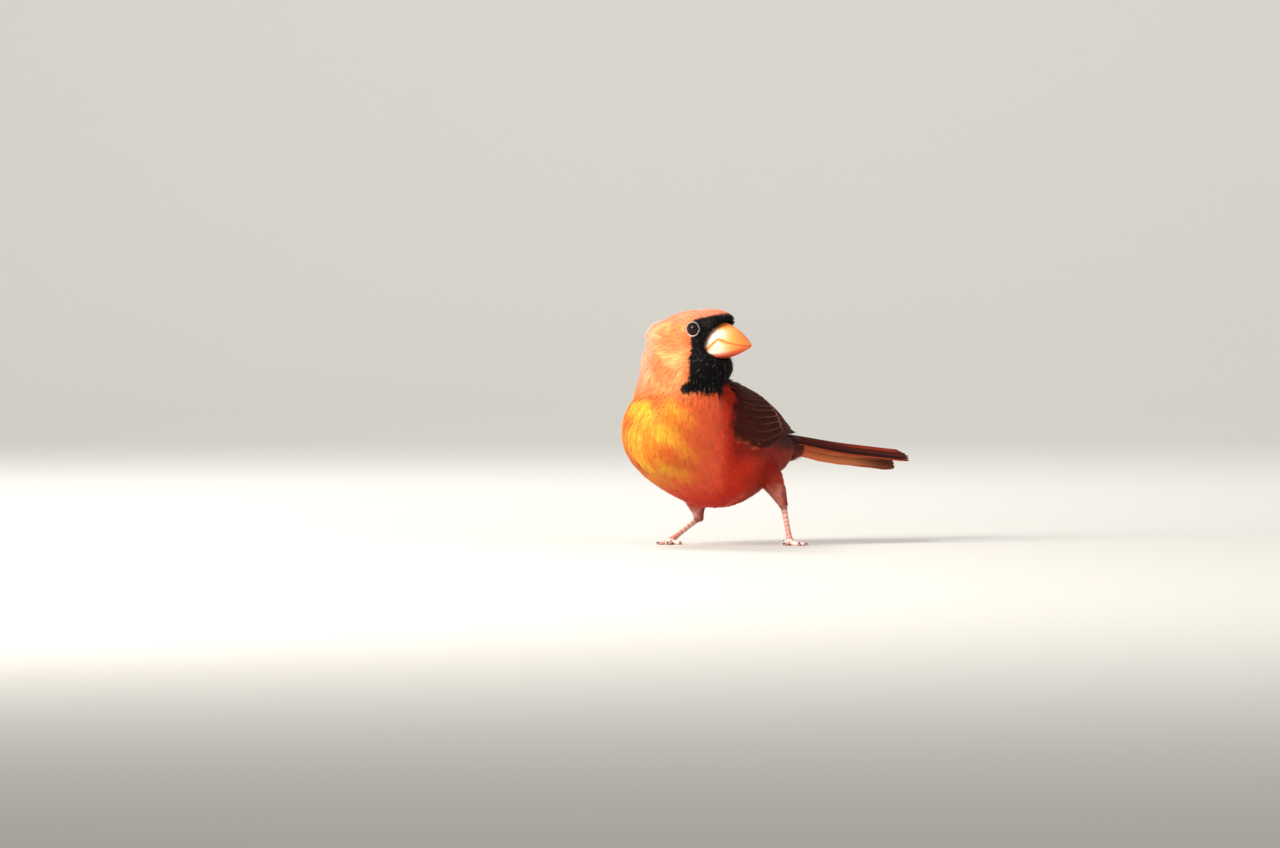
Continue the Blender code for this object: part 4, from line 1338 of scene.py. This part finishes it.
class Vanes:
    """Feathers with closed vanes, gathered into one mesh.

    face gives the surface they lie on, and turn is -1 where its outside is turned over.
    """

    def __init__(self, face, turn, seed):
        self.face = face
        self.turn = turn
        self.draw = np.random.default_rng(seed)
        self.points = []
        self.colours = []
        self.maps = []

    def add(self, start, end, axis, widths, lifts, tilt, dyes, tip, blunt=0.0):
        """One feather from `start` to `end` along the surface, its shaft at `axis` across it.

        widths are its outer and inner webs as fractions across; lifts the heights of its
        root and tip; tilt raises the outer web and sinks the inner one under its neighbour;
        tip is where the end starts to round off, and blunt how much of it stays square.
        """
        axis = axis + self.draw.normal(0, 0.005)
        end = end + self.draw.normal(0, 0.006)
        v = 1 - (1 - np.linspace(0, 1, VANE_ROWS)) ** 1.5
        u, v = np.meshgrid(VANE_COLUMNS, v)
        width = np.where(u < 0, widths[0], widths[1])
        close = (1 - blunt ** 2) * (np.clip(v - tip, 0, 1) / (1 - tip)) ** 2
        rounding = np.sqrt(np.clip(1 - close, 0.0004, 1))
        frayed = 1 - VANE_FRAY * np.abs(u) ** 4 * (1 + np.sin(37 * v + self.draw.uniform(0, 6)))
        envelope = (VANE_ROOT + (1 - VANE_ROOT) * ease(v, 0.0, 0.3)) * rounding * frayed
        s = blend(start, end, v - VANE_BOW * u ** 2 * ease(v, 0.5, 1.0))
        t = axis + u * width * envelope
        point = self.face(s, t)
        step = 0.004
        along = self.face(s + step, t) - self.face(s - step, t)
        across = self.face(s, t + step) - self.face(s, t - step)
        normal = unit(np.cross(along, across)) * self.turn
        shaft = (np.arange(len(VANE_COLUMNS)) == SHAFT_COLUMN) * SHAFT_RIDGE * (1.15 - v)
        height = blend(*lifts, v) - tilt * u * (1 - 0.4 * v) + shaft - 0.1 * u ** 2
        top = point + normal * height[..., None]
        bottom = top - normal * VANE_THICKNESS
        self.points.append(np.stack([top, bottom]))

        tone = self.draw.normal(1.0, VANE_TONE)
        centre = mix(dyes["middle"], dyes["outer"], ease(-u, 0.45, 0.95))
        centre = mix(centre, dyes["inner"], ease(u, 0.1, 0.6))
        fringe = ease(v, tip + 0.02, 0.98) * 0.8 + ease(np.abs(u), 0.85, 1.0) * 0.3
        centre = mix(centre, dyes.get("far", centre), ease(v, 0.4, 0.8) * 0.85)
        upper = mix(centre, dyes["tip"], np.clip(fringe, 0, 1)) * tone
        upper[:, SHAFT_COLUMN] *= SHAFT_SHADE
        under = mix(dyes["under"], dyes["middle"], ease(u, -0.2, 0.9) * 0.4) * tone
        under = mix(under, dyes.get("edge", under), fade(v, 0.15, 0.6) * 0.6)
        under = mix(under, dyes["middle"], ease(v, 0.62, 0.95) * 0.85)
        outer_edge = ease(-u if dyes.get("side", 1) > 0 else u, 0.6, 0.95)
        under = mix(under, dyes.get("edge", under), outer_edge * 0.8)
        under[:, SHAFT_COLUMN] = mix(under[:, SHAFT_COLUMN], QUILL, 0.25)
        self.colours.append(np.stack([upper, under]))
        length = distance(np.diff(point[:, SHAFT_COLUMN], axis=0), 0).sum()
        span = np.linalg.norm(point[VANE_ROWS // 2, 0] - point[VANE_ROWS // 2, -1])
        self.maps.append(np.stack([u * span / 2, v * length], axis=-1))

    def build(self, name, *replaced):
        """Join the feathers into one piece of closed shells."""
        grid = np.arange(VANE_POINTS).reshape(VANE_ROWS, -1)
        a, b = grid[:-1, :-1].ravel(), grid[:-1, 1:].ravel()
        c, d = grid[1:, 1:].ravel(), grid[1:, :-1].ravel()
        rim = np.concatenate([grid[0], grid[1:, -1], grid[-1, -2::-1], grid[-2:0:-1, 0]])
        after = np.roll(rim, -1)
        # The upper face, the lower face turned over, and the rim between them.
        quads = np.concatenate([np.column_stack([a, b, c, d]),
                                np.column_stack([d, c, b, a]) + VANE_POINTS,
                                np.column_stack([after, rim, rim + VANE_POINTS, after + VANE_POINTS])])
        if self.turn > 0:
            quads = quads[:, ::-1]
        count = len(self.points)
        points = np.concatenate(self.points).reshape(-1, 3)
        colours = np.concatenate(self.colours).reshape(-1, 3)
        loops = (quads + (np.arange(count) * 2 * VANE_POINTS)[:, None, None]).ravel()
        mesh = make_mesh(name, points, loops, np.full(count * len(quads), 4), colours)
        # The barb map counts millimetres, and is the same on both sides of a vane.
        barbs = np.repeat(np.stack(self.maps), 2, axis=0).reshape(-1, 2)
        lay_uvs(mesh, "vane", barbs[loops])
        # The bake map has a cell for each side of each vane.
        cells = int(np.ceil(np.sqrt(count * 2)))
        u, v = np.meshgrid(VANE_COLUMNS * 0.42 + 0.5, np.linspace(0.06, 0.94, VANE_ROWS))
        row, column = np.divmod(np.arange(count * 2), cells)
        bake = np.stack([column[:, None] + u.ravel(), row[:, None] + v.ravel()], axis=-1) / cells
        lay_uvs(mesh, "OFBake", bake.reshape(-1, 2)[loops])
        dress(add_object(name, mesh), VANE, replaced)


# Rows of flight feathers that show on a folded wing: how many, where the first one ends along
# the wing and how far on the next one does, where the first shaft lies across the wing and how
# far on the next one does, the two webs, the heights of root and tip, and the tilt.
FLIGHT_ROWS = (
    (8, 1.0, -0.021, 0.03, 0.046, (0.042, 0.10), (-0.7, -0.5), 0.22),
    (5, 0.90, -0.012, 0.40, 0.055, (0.05, 0.12), (-0.6, -0.3), 0.24),
)
# Each tertial's place across the wing, where it ends along it, and the width of its outer web.
TERTIALS = ((0.70, 0.885, 0.07), (0.80, 0.85, 0.08), (0.91, 0.80, 0.09))
GREATER_COVERTS = 10
MANTLE_ROWS = 7
# How much shorter than the tail each feather is, in millimetres, from the middle pair outwards.
LEFT_LOSS = (2.2, 1.2, 0.4, -0.4, 0.2, 1.6)
RIGHT_LOSS = (2.6, 1.8, 1.2, 0.6, 0.0, -1.2)


def make_wing(side):
    """A row of greater coverts, then tertials, secondaries and primaries."""
    suffix = "left" if side > 0 else "right"
    face = partial(wing_face, side=side)
    flight = Vanes(face, side, SEED + 1)
    for count, end, end_step, axis, axis_step, webs, lifts, tilt in FLIGHT_ROWS:
        for index in range(count):
            flight.add(0.36, end + end_step * index, axis + axis_step * index, webs, lifts, tilt,
                       REMEX, 0.9)
    for axis, end, width in TERTIALS:
        flight.add(0.34, end, axis, (width, 0.11), (-0.5, 0.05), 0.22, TERTIAL, 0.86)
    flight.build("flight_feathers_vanes_" + suffix, "flight_feathers_" + suffix)

    coverts = Vanes(face, side, SEED + 2)
    for index in range(GREATER_COVERTS):
        axis = 0.05 + 0.098 * index
        end = 0.57 - 0.10 * axis + 0.01 * (index % 2)
        paler = ease(axis, 0.05, 0.3) * (1 - 0.6 * ease(axis, 0.55, 0.8))
        tipped = {**COVERT, "tip": mix(COVERT["tip"], COVERT_TIP, paler)}
        coverts.add(0.2, end, axis, (0.075, 0.105), (-0.6, 0.12), 0.2, tipped, 0.88)
    coverts.build("wing_coverts_" + suffix, "wing_" + suffix)


def make_mantle():
    """Overlapping feathers of the lower back, which close the gap between the folded wings."""
    mantle = Vanes(back_face, 1, SEED + 7)
    for row in range(MANTLE_ROWS):
        for column in range(5 - row % 2):
            start = 0.22 + 0.075 * row + mantle.draw.normal(0, 0.009)
            axis = 0.12 + 0.19 * column + 0.095 * (row % 2) + mantle.draw.normal(0, 0.014)
            over = 0.12 * (column % 2)
            mantle.add(start, start + 0.16, axis, (0.14, 0.14), (over - 0.8, over + 0.25), 0.0,
                       MANTLE, 0.66)
    mantle.build("mantle_feathers")


def make_tail():
    """Twelve long feathers in a low roof, the middle pair on top."""
    tail = Vanes(tail_face, -1, SEED + 3)
    # The fifth feather out on each side is painted near black, as shadow.
    palettes = (BLUSHED, BLUSHED, RECTRIX, RECTRIX, SHADOWED_RECTRIX, OUTER_RECTRIX)
    for rank in reversed(range(len(palettes))):
        for hand, losses in ((1, LEFT_LOSS), (-1, RIGHT_LOSS)):
            axis = 0.5 + hand * (0.1 + 0.155 * rank) / 2
            end = 1.0 - losses[rank] / TAIL_LENGTH
            widths = (0.06, 0.11) if rank else (0.085, 0.085)
            height = -0.1 * rank - 0.1 * (hand < 0 and rank == 0)
            dyes = palettes[rank]
            if hand > 0:
                # Outwards is towards the tail's left edge, so the webs change places.
                widths = widths[::-1]
                dyes = {**dyes, "outer": dyes["inner"], "inner": dyes["outer"], "side": -1}
            tail.add(0.0, end, axis, widths, (height, height), -0.06 * hand, dyes, 0.94, blunt=0.75)
    tail.build("tail_feathers", "tail")


for side in (1, -1):
    make_wing(side)
make_mantle()
make_tail()


extras = np.random.default_rng(SEED + 4)
make_cuffs(surface, extras)
make_crest_tuft(surface, extras)
make_tail_coverts(surface, extras)
make_eye_fringe(surface, extras)
make_bristles(*coat_roots, extras)
make_bill_collar(coat_roots[0], coat_roots[2], extras)


# Eyes and legs --------------------------------------------------------------------------

PUPIL = linear("#020101")
IRIS = linear("#1e0d08")
IRIS_EDGE = linear("#0a0504")
LID_PALE = linear("#dccbc2")
LID_DARK = linear("#3a2a28")
PUPIL_RADIUS = 1.55
IRIS_RADIUS = 3.0
EYE_SUNK = 0.5
CORNEA_BULGE = 0.22
# The eyelids: the fold at each corner, out and back, how far the upper one hangs over the eye,
# and the number, depth and phase of the creases that run round them.
LID_FOLD = 0.25
LID_FOLD_BACK = 0.18
LID_HANG = 0.2
LID_CREASES = ((23, 0.025, 0), (41, 0.02, 1))


def make_eye(side):
    """A dark eye with a faintly bulging cornea, held in a pale ring of lid."""
    suffix = "right" if side > 0 else "left"
    centre = head_point(EYE_FORWARD, side * EYE_SIDE, EYE_RISE)
    outward = HEAD_RIGHT * side
    middle = centre - outward * EYE_SUNK
    ball = add_round("eyeball_" + suffix, bpy.ops.mesh.primitive_uv_sphere_add, middle, outward,
                     segments=64, ring_count=48, radius=(EYE_RADIUS - 0.06) * MM)
    points = read_points(ball)
    height = (points - middle) @ outward
    radius = distance(points - height[:, None] * outward, middle)
    front = height > 0
    write_points(ball, points + outward * (CORNEA_BULGE * fade(radius, 0.0, 2.6) * front)[:, None])
    colours = mix(PUPIL, IRIS, ease(radius, PUPIL_RADIUS - 0.1, PUPIL_RADIUS + 0.15))
    colours = mix(colours, IRIS_EDGE, ease(radius, IRIS_RADIUS - 0.5, IRIS_RADIUS))
    dye(ball.data, colours)
    dress(ball, CORNEA, ("eye_" + suffix,))

    lid = add_round("eyelids_" + suffix, bpy.ops.mesh.primitive_torus_add,
                    centre + outward * LID_OUT, outward, major_segments=96, minor_segments=20,
                    major_radius=LID_RING * MM, minor_radius=LID_THICK * MM)
    points = read_points(lid)
    away = points - centre
    ahead, above = away @ HEAD_FORWARD, away[:, 2]
    angle = np.arctan2(above, ahead)
    # The lids meet in a small fold at each corner, and creases run round them.
    corner = np.exp(-(np.sin(angle) / 0.22) ** 2)
    crease = sum(depth * np.sin(angle * count + phase) for count, depth, phase in LID_CREASES)
    level = away - (away @ outward)[:, None] * outward
    ring = unit(level)
    points = points + ring * (LID_FOLD * corner + crease)[:, None]
    points = points - outward * (LID_FOLD_BACK * corner)[:, None]
    # The upper lid's rim hangs a little over the eye, so that it doesn't stare.
    points = points - UP * (LID_HANG * ease(above, 1.2, 3.4))[:, None]
    write_points(lid, points)
    inner = distance(level, 0) - LID_RING
    colours = mix(LID_PALE, LID_DARK, fade(inner, -0.58, -0.5))
    dye(lid.data, mix(colours, plumage(points) * 0.6, ease(inner, -0.3, -0.16)))
    dress(lid, LID)


SHANK_SCALE = linear("#cd7f6c")
SCALE_PALE = linear("#f7dcd2")
SCALE_SEAM = linear("#a2604f")
# The length of one plate on the shank and on the toes, and how high the toes' middles lie.
SHANK_PLATE = 3.0
TOE_PLATE = 1.25
TOE_HEIGHT = 0.9
CLAW_LENGTH = 3.0
SEAM_WIDTH = 0.15
LEG_VOXEL = 0.2
LEG_GROWTH = 0.18
SCALE_DEPTH = 0.07
SCALE_RISE = 0.16
CLAW_ROOT = linear("#8f6a60")
CLAW_POINT = linear("#3b2c2a")


def heading_of(angle):
    """The level direction that lies `angle` round from straight ahead towards the left."""
    return np.array((sin(angle), -cos(angle), 0.0))


def make_leg(suffix):
    """Shank and foot in one skin, with overlapping plates down the front and along the toes."""
    leg = LEGS[suffix]
    ankle, joint = leg["ankle"], leg["foot"]
    nodes = ("shank_" + suffix, "foot_" + suffix)
    parts = [node_copy(node) for node in nodes]
    for part in parts:
        swell(part, LEG_GROWTH)
    limb = join(parts, "scaled_leg_" + suffix)
    remesh(limb, LEG_VOXEL, 5)
    smooth(limb)
    points, normals = read_points(limb), read_normals(limb)

    bones = [(ankle, joint, SHANK_PLATE, heading_of(leg["heading"]))]
    for _, angle, length in TOES:
        start = np.array((*joint[:2], TOE_HEIGHT))
        run = heading_of(leg["heading"] + angle * leg["side"])
        bones.append((start, start + run * length, TOE_PLATE, UP))
    gaps = []
    for start, end, _, _ in bones:
        run = unit(end - start)
        reach = np.clip((points - start) @ run, 0, np.linalg.norm(end - start))
        gaps.append(distance(points - reach[:, None] * run, start))
    nearest_bone = np.argmin(gaps, axis=0)
    seam, plate, tone = np.zeros((3, len(points)))
    for index, (start, end, pitch, front) in enumerate(bones):
        run = unit(end - start)
        along = (points - start) @ run
        facing = ease(normals @ unit(front - run * (front @ run)), -0.1, 0.5)
        part = np.mod((along + 0.3 * ripple(points, 2.4, index)) / pitch, 1.0)
        line = np.exp(-((part - 0.04) * pitch / SEAM_WIDTH) ** 2)
        mine = nearest_bone == index
        seam[mine] = (line * facing)[mine]
        # Each plate thickens towards its lower edge, which lies over the next one.
        plate[mine] = (facing * part ** 1.5)[mine]
        tone[mine] = np.sin(7.0 * np.floor(along / pitch) + 2.0 * index)[mine]
    points = points + normals * (SCALE_RISE * plate - SCALE_DEPTH * seam)[:, None]
    points[:, 2] = np.maximum(points[:, 2], 0.0)
    write_points(limb, points)
    paler = plate * (0.62 + 0.3 * tone) + (nearest_bone > 0) * 0.55
    colours = mix(SHANK_SCALE, SCALE_PALE, np.clip(paler, 0, 1))
    colours = mix(colours, SCALE_SEAM, seam * 0.6)
    # Painted shade: the shank darkens to wine red just below the feathered cuff.
    colours = mix(colours, ANKLE_SHADE, fade(distance(points, ankle), 2.5, 7.0) * 0.8)
    colours = mix(colours, SCALE_SEAM, fade(points[:, 2], 0.2, 0.9) * 0.5)
    dye(limb.data, colours)
    dress(limb, SCALES, nodes)

    nodes = ["claw_" + name + "_" + suffix for name, _, _ in TOES]
    claws = join([node_copy(node) for node in nodes], "claws_" + suffix)
    modify(claws, "SUBSURF", levels=2, render_levels=2)
    smooth(claws)
    points = read_points(claws)
    away = distance(points[:, :2], joint[:2])
    reach = np.zeros(len(points))
    for _, angle, length in TOES:
        run = heading_of(leg["heading"] + angle * leg["side"])
        mine = (points[:, :2] - joint[:2]) @ run[:2] > away * 0.94
        reach[mine] = (away[mine] - length) / CLAW_LENGTH
    dye(claws.data, mix(CLAW_ROOT, CLAW_POINT, ease(reach, 0.0, 0.8)))
    dress(claws, CLAW, nodes)


for side in (1, -1):
    make_eye(side)
for suffix in LEGS:
    make_leg(suffix)


# Stage, lights and camera ---------------------------------------------------------------


# The paper, in metres: how far it reaches, how far behind the bird it starts to rise, and the
# radius of its bend.
PAPER_REACH = 5.0
PAPER_FLAT = 2.2
PAPER_BEND = 1.8
BEND_STEPS = 12
# Each lamp's place towards the camera, to the right and up, its power and size, its colour, and
# the place it is aimed at.
LAMPS = {
    "key": ((0.85, -1.15, 0.8), 44.0, 0.95, (1.0, 0.96, 0.9), (0.0, 0.0, 0.06)),
    "fill": ((1.2, 1.2, 0.7), 6.0, 1.2, (0.95, 0.97, 1.0), (0.0, 0.0, 0.06)),
    "rim": ((-1.0, -0.5, 1.2), 14.0, 0.6, (1.0, 1.0, 1.0), (0.0, 0.0, 0.06)),
    # Lifts the paper behind, out of reach of the other lamps.
    "backdrop": ((-1.4, 0.0, 2.6), 50.0, 1.5, (1.0, 1.0, 1.0), (-4.0, 0.0, 1.2)),
}
ROOM_COLOUR = (1.0, 0.97, 0.93, 1.0)
ROOM_STRENGTH = 0.48


def studio_point(toward, right, up):
    """A place in metres, measured towards the camera, to the right of it and up."""
    return TOWARD * toward + ACROSS * right + UP * up


def aim(piece, direction):
    piece.rotation_euler = Vector(direction).to_track_quat("-Z", "Y").to_euler()


def make_stage():
    """A pale floor that rises behind in one smooth sweep."""
    # Thick matt paper, a warm grey that renders close to white in this light.
    finish, _, _ = new_finish("studio_paper", Roughness=0.9, Base_Color=(*linear("#cbc9c4"), 1.0))
    profile = [(-PAPER_REACH, 0.0), (PAPER_FLAT, 0.0)]
    for angle in np.linspace(0, pi / 2, BEND_STEPS + 1)[1:]:
        profile.append((PAPER_FLAT + PAPER_BEND * sin(angle), PAPER_BEND * (1 - cos(angle))))
    profile.append((PAPER_FLAT + PAPER_BEND, PAPER_REACH))
    points = [studio_point(-depth, side, height) for side in (-PAPER_REACH, PAPER_REACH)
              for depth, height in profile]
    count = len(profile)
    faces = [(i, i + 1, count + i + 1, count + i) for i in range(count - 1)]
    mesh = bpy.data.meshes.new("studio_sweep")
    mesh.from_pydata(points, [], faces)
    mesh.validate()
    mesh.materials.append(finish)
    mesh.shade_smooth()
    stage = add_object("studio_sweep", mesh)


def make_lights():
    """Four soft lamps and an even light from all round."""
    for name, (place, power, size, colour, target) in LAMPS.items():
        light = bpy.data.lights.new(name, "AREA")
        light.energy = power
        light.shape = "DISK"
        light.size = size
        light.color = colour
        lamp = add_object(name, light)
        lamp.location = studio_point(*place)
        aim(lamp, studio_point(*target) - studio_point(*place))
    world = bpy.data.worlds.new("soft_room")
    world.use_nodes = True
    room = world.node_tree.nodes["Background"].inputs
    room["Color"].default_value = ROOM_COLOUR
    room["Strength"].default_value = ROOM_STRENGTH
    bpy.context.scene.world = world


def make_camera():
    """A long lens that looks at the bird from its left front, a little above the level."""
    back = TOWARD * cos(CAMERA_RISE) + UP * sin(CAMERA_RISE)
    data = bpy.data.cameras.new("long_lens")
    data.lens = CAMERA_LENS
    data.sensor_width = CAMERA_SENSOR
    data.clip_end = 50.0
    camera = add_object("long_lens", data)
    camera.location = to_world(CAMERA_AIM) + back * (FRAME_WIDTH * MM * CAMERA_LENS / CAMERA_SENSOR)
    aim(camera, -back)
    bpy.context.scene.camera = camera


make_stage()
make_lights()
make_camera()
